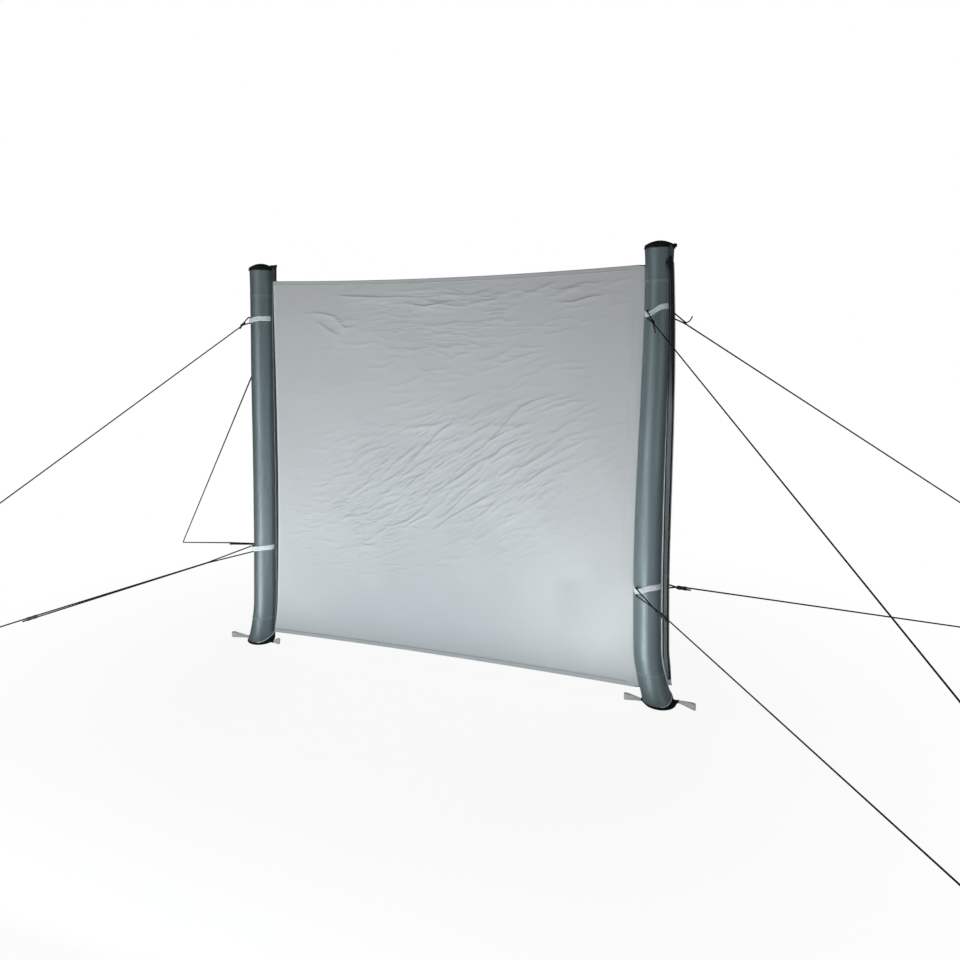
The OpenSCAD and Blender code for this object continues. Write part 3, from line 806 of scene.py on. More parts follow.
# Zips
# Each zip half is a black woven tape with a row of moulded teeth along its edge. The inner halves are meshed
# with the halves on the panel, half a tooth out of step, and the outer halves are free for the next bay.
zip_t = 0.0046
tape_t = 0.0012
tape_tuck = 0.003
tooth_pitch = 0.0034
tooth_h = 0.0019
tooth_l = 0.0046
tooth_root_t = 0.0030
tooth_fit = 0.96
tape_weave = (0.0012, 0.0003)
plastic_cloud, plastic_drift = 60, 0.08
grain_scale, grain_depth, grain_strength = 1500, 0.0002, 0.25
zip_tape = woven_finish("black_zip_tape", (26, 26, 28), (18, 18, 20), tape_weave, streak=(60, 60))


def moulded_finish(name, colour, shade, roughness):
    """Moulded plastic: even colour with faint clouding and a fine matt grain."""
    finish, tree, shader = new_finish(name)
    place = add_node(tree, "ShaderNodeTexCoord", {}).outputs["Object"]
    cloud = clouds(tree, place, plastic_cloud, 4)
    tree.links.new(drifting_tone(tree, cloud, shade, colour), shader.inputs["Base Color"])
    dull = ramp(tree, cloud, start=roughness - plastic_drift, end=roughness + plastic_drift)
    tree.links.new(dull, shader.inputs["Roughness"])
    press_in(tree, clouds(tree, place, grain_scale, 2), grain_depth, grain_strength)
    return finish


tooth_plastic = moulded_finish("black_tooth_plastic", (34, 35, 37), (26, 27, 29), 0.35)
block_corners = np.array([[a, b, c] for c in (-0.5, 0.5)
                          for a, b in ((-0.5, -0.5), (0.5, -0.5), (0.5, 0.5), (-0.5, 0.5))])
block_faces = np.array([[0, 3, 2, 1], [4, 5, 6, 7], [0, 1, 5, 4], [1, 2, 6, 5], [2, 3, 7, 6], [3, 0, 4, 7]])


def teeth(centre, along, off, head):
    """A row of teeth. head is 1 where the clasping end points along, or -1."""
    taper = np.where(block_corners[:, 0] * head > 0, 1.0, tooth_root_t / zip_t)
    up = np.array([0, 0, 1.0])
    points = (centre[:, None] + along[:, None] * (block_corners[:, 0] * tooth_l)[:, None]
              + off[:, None] * (block_corners[:, 1] * zip_t * tooth_fit * taper)[:, None]
              + up * (block_corners[:, 2] * tooth_h)[:, None])
    faces = (np.arange(len(centre))[:, None, None] * 8 + block_faces).reshape(-1, 4)
    return points.reshape(-1, 3), faces.tolist()


def tape_section(edge, z):
    near = zip_start(edge, z) - tape_tuck
    half = tape_t / 2
    return closed([(near, -half - half_flange), (near + zip_w, -half), (near + zip_w, half),
                   (near, half + half_flange)])


for side, edge in seam_rows:
    node = f"{side}_{edge}_zip"
    low, high = reach_up(node)
    sway = flange_sway(side, edge)
    strip = strip_on_flange(side, edge, low, high, tape_section, sway)
    make_piece(f"{node}_tape", *strip, zip_tape, "zip")
    z = np.arange(low + tooth_h, high, tooth_pitch)
    r = zip_start(edge, z) + zip_w - tooth_l / 2
    turn = np.radians(seams[edge](side, z))
    row = teeth(on_flange(side, edge, z, r, sway(r, z)), np.stack([np.cos(turn), np.sin(turn), 0 * z], 1),
                np.stack([-np.sin(turn), np.cos(turn), 0 * z], 1), 1)
    make_joined(f"{node}_teeth", [row], tooth_plastic, "zip", [node], smooth=False)


# Panel
# The windbreak itself is one sheet of light grey coated polyester, zipped tight between the tubes. Its edges
# are turned and stitched, and packing and pitching have left it full of sharp little creases.
panel_high_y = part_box("panel")[1].y
panel_h = panel_top - panel_low
panel_t = 0.002
panel_mid_y = panel_high_y - panel_t / 2
corner_gap = 0.02
edge_scallop = 0.012
top_sag = 0.02
low_rise = 0.01
hem_h = 0.02
hem_lift = 0.0016
# Thick dark thread on the top and bottom hems, partly painted shade.
painted_shade_hem_thread_r = 0.0014
side_hem_w = 0.016
panel_columns = 170
panel_rows = 588
side_edge_points, panel_tape_points = 200, 150
row_shares = (0, 0.01, 0.08, 0.99, 1)
sparse_rows_top = 0.24
row_lean = 0.30
row_lean_at, row_lean_w = 0.55, 0.215
calm_edge_w, calm_least = 0.06, 0.15
swell_depth, swell_size, swell_stretch, swell_seed = 0.0016, 0.5, 1.3, 31
crease_seed = 5
small_creases = 620
crease_field_x, crease_field_z = (0.15, 1.9), (0.15, 1.88)
stray_crease_share = 0.03
crease_base, crease_gain, crease_spread = 0.0008, 0.0018, (0.35, 1.25)
crease_sharp, crease_soft = (0.003, 0.005), (0.005, 0.011)
crease_steps, crease_step = (3, 9), (0.02, 0.045)
crease_bend, crease_kink, bend_kept = 8, 13, 0.55
crease_reach, crease_taper, crease_ends = 4, 0.7, (0.02, 0.98)
slant_most, slant_z, slant_reach = 40, 0.9, 0.42
slant_from_x, slant_ease = 0.48, 0.1
fan_turn, fan_x, fan_z, fan_reach = 7, 1, 1.75, 0.3
way_sway, way_sway_rate = 4, 5
crease_zones = {
    "middle": (1, (1.02, 0.66, 4), (0.854, 0.31), 0.2),
    "top": (0.6, (1.15, 0.75, 4), (1.79, 0.06), 0),
    "upper": (0.3, (1.0, 0.7, 4), (1.55, 0.2), 0),
    "lower left": (0.6, (0.5, 0.25, 2), (0.66, 0.2), 0),
}
long_folds = [
    [(0.69, 0.85), (0.82, 0.94), (0.95, 1.06), (1.03, 1.14), (1.10, 1.19), (1.15, 1.26)],
    [(0.85, 1.15), (0.95, 1.17), (1.05, 1.18)],
    [(1.27, 1.08), (1.34, 1.16), (1.44, 1.27), (1.50, 1.30), (1.63, 1.34)],
    [(0.94, 0.77), (1.01, 0.85), (1.15, 0.94), (1.24, 1.01), (1.34, 1.06)],
    [(1.03, 0.72), (1.11, 0.79), (1.19, 0.87), (1.31, 0.96)],
    [(0.98, 0.65), (1.08, 0.73), (1.21, 0.81), (1.34, 0.88)],
    [(1.34, 0.88), (1.44, 0.99), (1.56, 1.06), (1.65, 1.13)],
    [(1.38, 0.85), (1.46, 0.92), (1.56, 0.99), (1.67, 1.05)],
    [(0.45, 1.82), (0.54, 1.81), (0.71, 1.80), (0.85, 1.80)],
    [(0.82, 1.77), (0.95, 1.75), (1.03, 1.76), (1.16, 1.74)],
    [(1.60, 1.75), (1.69, 1.75), (1.76, 1.77), (1.83, 1.78)],
    [(0.26, 1.73), (0.36, 1.73), (0.45, 1.71), (0.51, 1.65), (0.57, 1.66)],
    [(0.34, 1.69), (0.42, 1.64), (0.48, 1.61)],
]
fold_depth, fold_sharp, fold_soft = 0.0046, 0.004, 0.014
panel_weave = (0.0013, 0.00015)
panel_cloth = woven_finish("light_grey_panel_cloth", (202, 205, 206), (198, 201, 202), panel_weave,
                           roughness=0.6, streak=(3.5, 3.5), blotch=0.6)
# The top and bottom hems are a touch darker than the panel: painted shade, as double cloth lets less light
# through.
hem_cloth = woven_finish("panel_hem_cloth", (197, 200, 201), (192, 195, 196), panel_weave, roughness=0.6,
                         streak=(8, 8))
side_hem_cloth = woven_finish("panel_side_hem_cloth", (212, 216, 219), (207, 211, 214), panel_weave,
                              roughness=0.6, streak=(8, 8))
fine_fields = [
    ((1.05, 0.88), (0.86, 0.50), 36, (0.20, 0.042), 0.0013),
    ((0.62, 0.62), (0.56, 0.34), 12, (0.16, 0.036), 0.0012),
    ((1.00, 1.70), (0.95, 0.22), 3, (0.36, 0.055), 0.0008),
]
fine_line = 0.05
fine_full = 0.45
fine_patch, fine_patch_scale = (0.40, 0.60), 6


def fine_creases(finish, fields):
    """Presses hair-fine creases into a cloth.

    A field has its middle and its reach, and the slant, the size and the depth of its creases.
    """
    tree = finish.node_tree
    place = cloth_place(tree)
    patchy = clouds(tree, place, fine_patch_scale, 2)
    for middle, reach, slant, size, depth in fields:
        spot = add_node(tree, "ShaderNodeMapping",
                        {"Vector": place, "Location": (*middle, 0), "Scale": (*reach, 1)},
                        vector_type="TEXTURE").outputs["Vector"]
        far = add_node(tree, "ShaderNodeVectorMath", {0: spot}, operation="LENGTH").outputs["Value"]
        share = ramp(tree, far, fine_full, 1, 1, 0)
        along = add_node(tree, "ShaderNodeMapping",
                         {"Vector": place, "Location": (*middle, 0), "Rotation": (0, 0, math.radians(slant)),
                          "Scale": (*size, 1)}, vector_type="TEXTURE").outputs["Vector"]
        off = worked_out(tree, "SUBTRACT", clouds(tree, along, 1, 2.5, 0.55), 0.5)
        line = ramp(tree, worked_out(tree, "ABSOLUTE", off), 0, fine_line, 1, 0)
        patch = ramp(tree, patchy, *fine_patch, end=share)
        press_in(tree, worked_out(tree, "MULTIPLY", line, patch), depth)


fine_creases(panel_cloth, fine_fields)
inward = {"left": 1, "right": -1}


def panel_edge_x(side, z):
    share = np.clip((z - panel_low) / panel_h, 0, 1)
    gap = corner_gap + edge_scallop * (1 - (2 * share - 1) ** 2)
    return axis_x(side, z) + inward[side] * (tube_r + gap)


def panel_place(s, t):
    """Place on the flat panel: s is the share from the left edge to the right one, t from bottom to top.

    Between the level edges the rows of points lean as the creases do.
    """
    share = t + row_lean / panel_h * np.tanh((s - row_lean_at) / row_lean_w) * np.sin(math.pi * t) ** 2
    z = panel_low + share * panel_h
    left, right = panel_edge_x("left", z), panel_edge_x("right", z)
    across = 1 - (2 * s - 1) ** 2
    return left + s * (right - left), z + ((1 - share) * low_rise - share * top_sag) * across


def crease_way(x, z):
    """Direction of the creases in degrees: level at the top, slanting up to the right in the middle."""
    slant = slant_most * math.exp(-((z - slant_z) / slant_reach) ** 2)
    slant = slant / (1 + math.exp(-(x - slant_from_x) / slant_ease))
    fan = (x - fan_x) * fan_turn * math.exp(-((z - fan_z) / fan_reach) ** 2)
    return slant + way_sway * math.sin(way_sway_rate * x) + fan


def crease_depth(x, z):
    """How strong the creases are from place to place: strongest in the middle, none beside the tubes.

    A zone has its strength, its middle, reach and fall-off across, its middle and reach up, and its lean.
    """
    strengths = []
    for strength, (mid_x, reach_x, fall), (mid_z, reach_z), lean in crease_zones.values():
        up = math.exp(-((z - mid_z - lean * (x - mid_x)) / reach_z) ** 2)
        strengths.append(strength * up * math.exp(-((x - mid_x) / reach_x) ** fall))
    return max(strengths)


def wandering_crease(draw, x, z):
    """One crease as the points that it runs through: it follows the general direction, and kinks."""
    points = [(x, z)]
    bend = draw.normal(0, crease_bend)
    for _ in range(draw.integers(*crease_steps)):
        way = math.radians(crease_way(x, z) + bend)
        step = draw.uniform(*crease_step)
        x, z = x + step * math.cos(way), z + step * math.sin(way)
        points.append((x, z))
        bend = bend_kept * bend + draw.normal(0, crease_kink)
    return np.array(points)


def press_crease(relief, x, z, points, depth, sharp, soft):
    """Raises a fold along a crease: steep on its upper side and easing out on its lower one."""
    reach = crease_reach * soft
    low, high = points.min(0) - reach, points.max(0) + reach
    near = np.where((x > low[0]) & (x < high[0]) & (z > low[1]) & (z < high[1]))
    px, pz = x[near], z[near]
    best = np.full(px.shape, np.inf)
    signed = np.zeros(px.shape)
    share = np.zeros(px.shape)
    for k, (a, b) in enumerate(zip(points[:-1], points[1:])):
        run = b - a
        length = np.hypot(*run)
        along = np.clip(((px - a[0]) * run[0] + (pz - a[1]) * run[1]) / length ** 2, 0, 1)
        dx, dz = px - a[0] - along * run[0], pz - a[1] - along * run[1]
        gap = np.hypot(dx, dz)
        closer = gap < best
        best = np.where(closer, gap, best)
        signed = np.where(closer, (run[0] * dz - run[1] * dx) / length, signed)
        share = np.where(closer, (k + along) / (len(points) - 1), share)
    width = np.where(signed > 0, sharp, soft)
    fade = np.sin(math.pi * np.clip(share, *crease_ends)) ** crease_taper
    relief[near] += depth * fade * np.exp(-best / width)


def panel_relief(x, z):
    """How far each point of the panel stands out towards the windward side."""
    draw = np.random.default_rng(crease_seed)
    relief = swell_depth * ripples(x, z * swell_stretch, swell_size, swell_seed)
    for points in long_folds:
        press_crease(relief, x, z, np.array(points), fold_depth, fold_sharp, fold_soft)
    made = 0
    while made < small_creases:
        at_x = draw.uniform(*crease_field_x)
        at_z = draw.uniform(*crease_field_z)
        strength = crease_depth(at_x, at_z)
        if draw.uniform() > strength + stray_crease_share:
            continue
        points = wandering_crease(draw, at_x, at_z)
        depth = (crease_base + crease_gain * strength) * draw.uniform(*crease_spread)
        press_crease(relief, x, z, points, depth, draw.uniform(*crease_sharp), draw.uniform(*crease_soft))
        made += 1
    return relief


hem_share = hem_h / panel_h
row_places = (0, hem_share, sparse_rows_top, 1 - hem_share, 1)
row_at = np.interp(np.linspace(0, 1, panel_rows), row_shares, row_places)
t, s = crossed(row_at, np.linspace(0, 1, panel_columns))
panel_x, panel_z = panel_place(s, t)
edge_distance = np.minimum.reduce([panel_x - panel_x[:, :1], panel_x[:, -1:] - panel_x, panel_z - panel_z[:1],
                                   panel_z[-1:] - panel_z])
calm = np.clip(edge_distance / calm_edge_w, calm_least, 1)
panel_points = np.stack([panel_x, panel_mid_y - calm * panel_relief(panel_x, panel_z), panel_z], -1)
panel_uv = np.stack([panel_x, panel_z], -1)
panel = make_piece("panel_sheet", panel_points, grid_quads(panel_rows, panel_columns), panel_uv, panel_cloth,
                   "panel_cloth", ["panel"])
hem_rows = int(np.sum(row_at <= hem_share)) + 1
side_columns = int(round(side_hem_w / np.ptp(panel_x) * (panel_columns - 1))) + 1


def folded_edge(rows, way_out):
    """A turned edge: rows of panel points from the stitching out to the edge, wrapped front and back."""
    lift = np.array([0, hem_lift, 0])
    fold = rows[-1] + np.asarray(way_out) * hem_lift
    folded = np.concatenate([[rows[0]], rows[1:] - lift, [fold], rows[:0:-1] + lift, [rows[0]]])
    return folded, grid_quads(*folded.shape[:2]), flat_uv(run_along(folded[:, 0]), run_along(rows[-1]))


for name, rows, way_out, finish in (
    ("panel_top_hem", panel_points[-hem_rows:], (0, 0, 1), hem_cloth),
    ("panel_bottom_hem", panel_points[:hem_rows][::-1], (0, 0, -1), hem_cloth),
    ("panel_left_hem", panel_points[:, :side_columns].transpose(1, 0, 2)[::-1], (-1, 0, 0), side_hem_cloth),
    ("panel_right_hem", panel_points[:, -side_columns:].transpose(1, 0, 2), (1, 0, 0), side_hem_cloth),
):
    make_piece(name, *folded_edge(rows, way_out), finish, "panel_cloth")
# Real hem stitching, but its thread is drawn dark, and thick on the top and bottom hems, as painted shade of
# the stitched groove.
painted_shade_hem_thread = woven_finish("grey_painted_shade_hem_thread", (84, 86, 88), (72, 74, 76), thread_twist)
rows = []
for row, thick in (
    (panel_points[1 - hem_rows], painted_shade_hem_thread_r),
    (panel_points[hem_rows - 2], painted_shade_hem_thread_r),
    (panel_points[:, side_columns - 2], thread_r),
    (panel_points[:, 1 - side_columns], thread_r),
):
    for lift in (-1, 1):
        rows.append(stitch_row(row + np.array([0, lift * hem_lift, 0]), (0, lift, 0), stitch_pitch, thick))
make_joined("panel_stitching", rows, painted_shade_hem_thread, "panel_cloth")
heights = np.linspace(panel_low, panel_top, side_edge_points)

for side in sides:
    node = f"panel_{side}_zip"
    low, high = reach_up(node)
    way_in = inward[side]
    z = np.arange(low + tooth_h + tooth_pitch / 2, high - tooth_h, tooth_pitch)
    near = axis_x(side, z) + way_in * (flange_r + fit)
    centre = np.stack([near + way_in * tooth_l / 2, 0 * z, z], 1)
    along, off = (np.tile(way, (len(z), 1)) for way in ([1.0, 0, 0], [0, 1.0, 0]))
    row = teeth(centre, along, off, -way_in)
    make_joined(f"{node}_teeth", [row], tooth_plastic, "zip", [node], smooth=False)
    heights = np.linspace(low, high, panel_tape_points)
    near, far = (axis_x(side, heights) + way_in * (flange_r + fit + reach) for reach in (tape_tuck, zip_w))
    tape = np.stack([np.stack([x, np.full_like(heights, y), heights], 1) for x, y in (
        (near, -tape_t / 2), (far, panel_high_y), (far, panel_high_y + tape_t), (near, tape_t / 2),
        (near, -tape_t / 2))], 1)
    run = np.array([0, zip_w, zip_w + tape_t, 2 * zip_w, 2 * zip_w + tape_t])
    faces = grid_quads(len(heights), len(run))
    make_piece(f"{node}_tape", tape, faces, flat_uv(heights, run), zip_tape, "zip")


# Cover flaps
# A strip of the panel's own cloth hides each closed zip: on the back along the left edge, in front along the
# right one. It is sewn to the panel along one side, and the strip is folded double along its free side.
flap_reach = 0.0008
flap_seam = 0.012
flap_far = flange_r + zip_w + 2 * fit + flap_seam
flap_t = 0.0014
flap_rows = 220
flap_columns = 9
flap_slack, flap_slack_size = 0.0009, 0.22
flap_seed = {"left": 41, "right": 42}
flap_step_at, flap_step_w = 0.75, 0.2
pale_thread = woven_finish("pale_thread", (206, 209, 210), (198, 201, 202), thread_twist)
for side in sides:
    node = f"panel_{side}_flap"
    low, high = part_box(node)
    face_way = -1 if side == "right" else 1
    z, share = crossed(np.linspace(low.z, high.z, flap_rows), np.linspace(0, 1, flap_columns))
    free = radius(z) + flap_reach
    x = axis_x(side, z) + inward[side] * (free + share * (flap_far - free))
    loose = flap_slack * ripples(x, z, flap_slack_size, flap_seed[side]) * np.sin(math.pi * share)
    if side == "left":
        drop = np.clip((share - flap_step_at) / flap_step_w, 0, 1)
        y = high.y - flap_t / 2 - drop * (high.y - flap_t - panel_high_y) - loose
    else:
        y = low.y + flap_t / 2 + loose
    front = np.stack([x, y - flap_t / 2, z], -1)
    back = np.stack([x, y + flap_t / 2, z], -1)
    folded = np.concatenate([front[:, ::-1], back, front[:, -1:]], 1)
    uv = flat_uv(z[:, 0], run_along(folded[0]))
    flap = make_piece(f"panel_{side}_cover", folded, grid_quads(*folded.shape[:2]), uv, panel_cloth,
                      "panel_cloth", [node])
    sewn = (front if side == "right" else back)[:, -2] + np.array([0, face_way * thread_r, 0])
    seam = stitch_row(sewn, (0, face_way, 0))
    stitching = make_joined(f"panel_{side}_cover_stitching", [seam], pale_thread, "panel_cloth")


# Webbing bands
# Two bands of pale grey webbing hold each tube, sewn into its side seams. A band is a front and a rear strap,
# and where a guy line loops round a strap its pull draws the webbing down and off the sleeve. The right bands
# have been dragged askew and climb to the right.
web_w = 0.025
web_t = 0.0016
band_z0 = {"upper": 1.708, "lower": 0.510}
band_dip = {"left_upper": 0.010, "left_lower": 0.010, "right_upper": 0.025, "right_lower": 0.018}
band_tilt = {"left_upper": 0, "left_lower": 0, "right_upper": 0.012, "right_lower": 0.006}
tilt_turn = 315
tie_turn = 52
dip_spread = 40
rear_dip_share = 0.5
lift_spread = 13
line_d = 0.0055
line_fit = 0.0005
bar_turn = 5
bar_pitch = 0.0028
bar_share = 0.4
strap_points, bar_points = 90, 9
webbing_weave = (0.0022, 0.0006)
band_webbing = woven_finish("pale_band_webbing", (234, 241, 243), (220, 228, 230), webbing_weave,
                            roughness=0.5, streak=(50, 20))
web_outline = [(-0.5, 0.25), (-0.47, 0.9), (-0.3, 1), (-0.03, 1), (0, 0.86), (0.03, 1), (0.3, 1), (0.47, 0.9),
               (0.5, 0.25), (0.47, 0), (-0.47, 0), (-0.5, 0.25)]


def tie_pull(turn, spread, rear_share=1):
    """How much the lines pull on a band from place to place, front and rear."""
    front, rear = (np.exp(-((turn - tie) / spread) ** 2) for tie in (tie_turn + 180, tie_turn))
    return front + rear_share * rear


def band_z(side, level, turn):
    tilt = band_tilt[f"{side}_{level}"] * np.cos(np.radians(turn - tilt_turn))
    return band_z0[level] + tilt - band_dip[f"{side}_{level}"] * tie_pull(turn, dip_spread, rear_dip_share)


def band_r(z, turn):
    return radius(z) + fit + (line_d + 2 * line_fit) * tie_pull(turn, lift_spread)


for side in sides:
    for level, z0 in band_z0.items():
        seam_gap = math.degrees(math.asin((half_flange + 2 * fit) / tube_r))
        seam_gap += top_seam_turn / (height - seam_turn_z) * web_w
        outer = float(outer_seam(side, band_z(side, level, outer_seam(side, z0))))
        seam_turns = (0, outer, 360) if side == "left" else (outer, 180, 360 + outer)
        straps, bars = [], []
        for first, last in zip(seam_turns[:-1], seam_turns[1:]):
            start, end = first + seam_gap, last - seam_gap
            turn = np.linspace(start, end, strap_points)
            across, out = np.array(web_outline).T
            z = band_z(side, level, turn)[:, None] + across * web_w
            r = band_r(z, turn[:, None]) + out * web_t
            points = on_tube(side, z, r, turn[:, None])
            uv = np.stack(np.broadcast_arrays(across * web_w, (np.radians(turn) * tube_r)[:, None]), -1)
            straps.append((points, grid_quads(*z.shape), uv))
            for end_turn in (start + bar_turn, end - bar_turn):
                up = np.linspace(-bar_share, bar_share, bar_points) * web_w
                bar_z = band_z(side, level, end_turn) + up
                bar = on_tube(side, bar_z, band_r(bar_z, end_turn) + web_t, end_turn)
                facing = on_tube(side, bar_z, 1, end_turn) - on_tube(side, bar_z, 0, end_turn)
                bars.append(stitch_row(bar, facing, bar_pitch))
        make_joined(f"{side}_{level}_webbing", straps, band_webbing, "band_webbing", [f"{side}_{level}_band"])
        make_joined(f"{side}_{level}_webbing_bars", bars, grey_thread, "band_webbing")


# Peg loops
# Short loops of grey webbing are caught in the edge of each foot cup. A loop is gathered low where it is
# sewn, fans out to the full width of the webbing, standing on edge, and ends in an eye for a ground peg.
loop_w = 0.018
loop_length = {"left_outer": 0.118, "left_inner": 0.046, "right_inner": 0.084, "right_outer": 0.080}
peg_root = 0.014
peg_ground = 0.0004
root_h = cup_h - 0.003
eye_turn = 1.75
leg_curve = 1.3
eye_points, leg_points = 25, 13
loop_webbing = woven_finish("grey_loop_webbing", (238, 240, 241), (220, 223, 224), webbing_weave,
                            roughness=0.65, streak=(50, 50))
loop_outline = [(-1, 0.06), (-0.6, 0), (0.6, 0), (1, 0.06), (1, 0.94), (0.6, 1), (-0.6, 1), (-1, 0.94),
                (-1, 0.06)]
for name, length in loop_length.items():
    side, edge = name.split("_")
    way_out = outward(side, edge)
    eye = length - loop_w / 2
    eye_r = (loop_w - web_t) / 2
    eye_turns = np.linspace(-eye_turn, eye_turn, eye_points)
    ring = [(eye + eye_r * math.cos(t), eye_r * math.sin(t)) for t in eye_turns]
    leg = [(x, -web_t / 2 - (eye_r - web_t / 2) * max(0, (x - peg_root) / (eye - peg_root)) ** leg_curve)
           for x in np.linspace(0, eye, leg_points + 1)[:-1]]
    path = np.array(leg + ring + [(x, -y) for x, y in leg[::-1]])
    way = np.gradient(path, axis=0)
    off = unit(np.stack([way[:, 1], -way[:, 0]], 1)) * web_t / 2
    tall = np.interp(path[:, 0], [0, eye - loop_w / 2], [root_h, web_w])
    origin = foot_x[side] + way_out * (foot_r + cap_proud + fit)
    wide, up = np.array(loop_outline).T
    rise = peg_ground + loop_rise[name] * np.clip(1 - path[:, :1] / eye, 0, 1)
    rings = np.stack([origin + way_out * (path[:, :1] + off[:, :1] * wide), path[:, 1:] + off[:, 1:] * wide,
                      rise + tall[:, None] * up], -1)
    uv = np.stack([np.broadcast_to(run_along(path)[:, None], rings.shape[:2]), rings[..., 2]], -1)
    make_piece(f"{name}_loop", rings, grid_quads(*rings.shape[:2]), uv, loop_webbing, "loop_webbing",
               [f"{name}_peg_loop"])


# Guy lines
# Four black braided cords hold the tubes. Each is one cord: knotted round the upper band, run down to its
# peg, back up through a slider, round the lower band and back into the slider.
peg_spot = {
    "front_left": (-1.600, -1.540),
    "rear_left": (-1.930, 1.540),
    "front_right": (1.420, -1.750),
    "rear_right": (2.460, 1.390),
}
slider_share = {"front_left": 0.46, "rear_left": 0.386, "front_right": 0.086, "rear_right": 0.038}
tail_way = {
    "front_left": (-0.008, -0.012, -0.022),
    "rear_left": (-0.006, 0.012, -0.040),
    "front_right": (0.010, 0, -0.048),
    "rear_right": (0.030, 0.004, 0.030),
}
knot_run = {"front_left": 0.036, "rear_left": 0.055, "front_right": 0.055, "rear_right": 0.080}
slider_l = 0.046
slider_pitch = line_d + 0.0028
end_tail = 0.018
line_bend = 0.004
knot_turns = {"front_left": 6, "rear_left": 4, "front_right": 4, "rear_right": 3}
knot_d = 0.014
wrap_pitch = 0.92 * line_d
tail_from, tail_arch, tail_sag = 0.002, 0.006, -0.003
line_ground = 0.0002
least_turn = 0.05
bend_points, wrap_points, tail_points = 8, 20, 12
strands_meet = {"front_left": 0.22, "rear_left": 0.22, "front_right": 0.8, "rear_right": 0.8}
braid_swell = {"front_left": 0.0004, "rear_left": 0.0012, "front_right": 0, "rear_right": 0.0005}
braid_weave = (0.0022, 0.0005)
line_braid = woven_finish("black_line_braid", (24, 24, 25), (14, 14, 15), braid_weave, roughness=0.6)


def band_turn(side, level, turn):
    """Where a line passes round its band: over the upper edge, behind the webbing and back below it."""
    mid = float(band_z(side, level, turn))
    reach = web_w / 2 + line_d / 2 + line_fit
    behind = float(radius(mid)) + line_fit + line_d / 2
    before = float(band_r(mid, turn)) + web_t + line_fit + line_d / 2
    out = np.array([math.cos(math.radians(turn)), math.sin(math.radians(turn)), 0])
    centre = np.array([axis_x(side, mid), 0, mid])
    return np.array([centre + out * r + up_by(way * reach)
                     for r, way in ((before, 1), (behind, 1), (behind, -1), (before, -1))])


def rounded(route, bend):
    """A route with its corners turned on a radius, as a cord takes them."""
    smooth = [route[0]]
    for before, corner, after in zip(route[:-2], route[1:-1], route[2:]):
        u, v = unit(corner - before), unit(after - corner)
        turn = math.acos(max(-1, min(1, float(u @ v))))
        if turn < least_turn:
            smooth.append(corner)
            continue
        hollow, along = unit(v - u), unit(u + v)
        centre = corner + hollow * bend / math.cos(turn / 2)
        for t in np.linspace(-turn / 2, turn / 2, bend_points):
            smooth.append(centre - hollow * bend * math.cos(t) + along * bend * math.sin(t))
    smooth.append(route[-1])
    return np.array(smooth)


def knot_parts(name, knot, down):
    """The wraps of a line's knot, and the loose tail that comes out of it."""
    level = unit(np.cross(down, [0, 0, 1]))
    other = np.cross(level, down)
    turns = knot_turns[name]
    t = np.linspace(0, math.tau * turns, wrap_points * turns)
    wrap_r = (knot_d - line_d) / 2
    wraps = knot + (np.cos(t)[:, None] * level + np.sin(t)[:, None] * other) * wrap_r
    wraps = wraps + down * ((t / math.tau - turns / 2) * wrap_pitch)[:, None]
    share = np.linspace(0, 1, tail_points)[:, None]
    arch = (down * tail_arch + other * tail_sag) * np.sin(math.pi * share)
    tail = knot + down * tail_from + np.array(tail_way[name]) * share + arch
    return [cord(path, line_d / 2) for path in (wraps, tail)]


guy_ties = {}
for name, (peg_x, peg_y) in peg_spot.items():
    face, side = name.split("_")
    turn = tie_turn + (180 if face == "front" else 0)
    upper, lower = band_turn(side, "upper", turn), band_turn(side, "lower", turn)
    ground = np.array([foot_x[side] + peg_x, peg_y, line_d / 2 + line_ground])
    high, low = (upper[0] + upper[3]) / 2, (lower[0] + lower[3]) / 2
    down = unit(ground - high)
    knot = high + knot_run[name] * down
    strand = up_by(line_d / 2 + line_fit)
    way = unit(ground - low)
    upright = unit(np.cross(np.cross(way, [0, 0, 1]), way))
    mid = low + slider_share[name] * (ground - low)
    guy_ties[name] = mid, way, upright
    above, below = mid + upright * slider_pitch / 2, mid - upright * slider_pitch / 2
    half = way * slider_l / 2
    meet = low + strands_meet[name] * slider_share[name] * (ground - low)
    near = np.cross(way, upright) * (line_d / 2 + line_fit)
    route = np.array([knot + strand, *upper, knot - strand, ground, above + half, above - half, meet + near,
                      *lower, meet - near, below - half, below + half + way * end_tail])
    run = cord(rounded(route, line_bend), line_d / 2 + braid_swell[name])
    parts = [run, *knot_parts(name, knot, down)]
    make_joined(f"{name}_line", parts, line_braid, "line", [f"{name}_guy_line"])


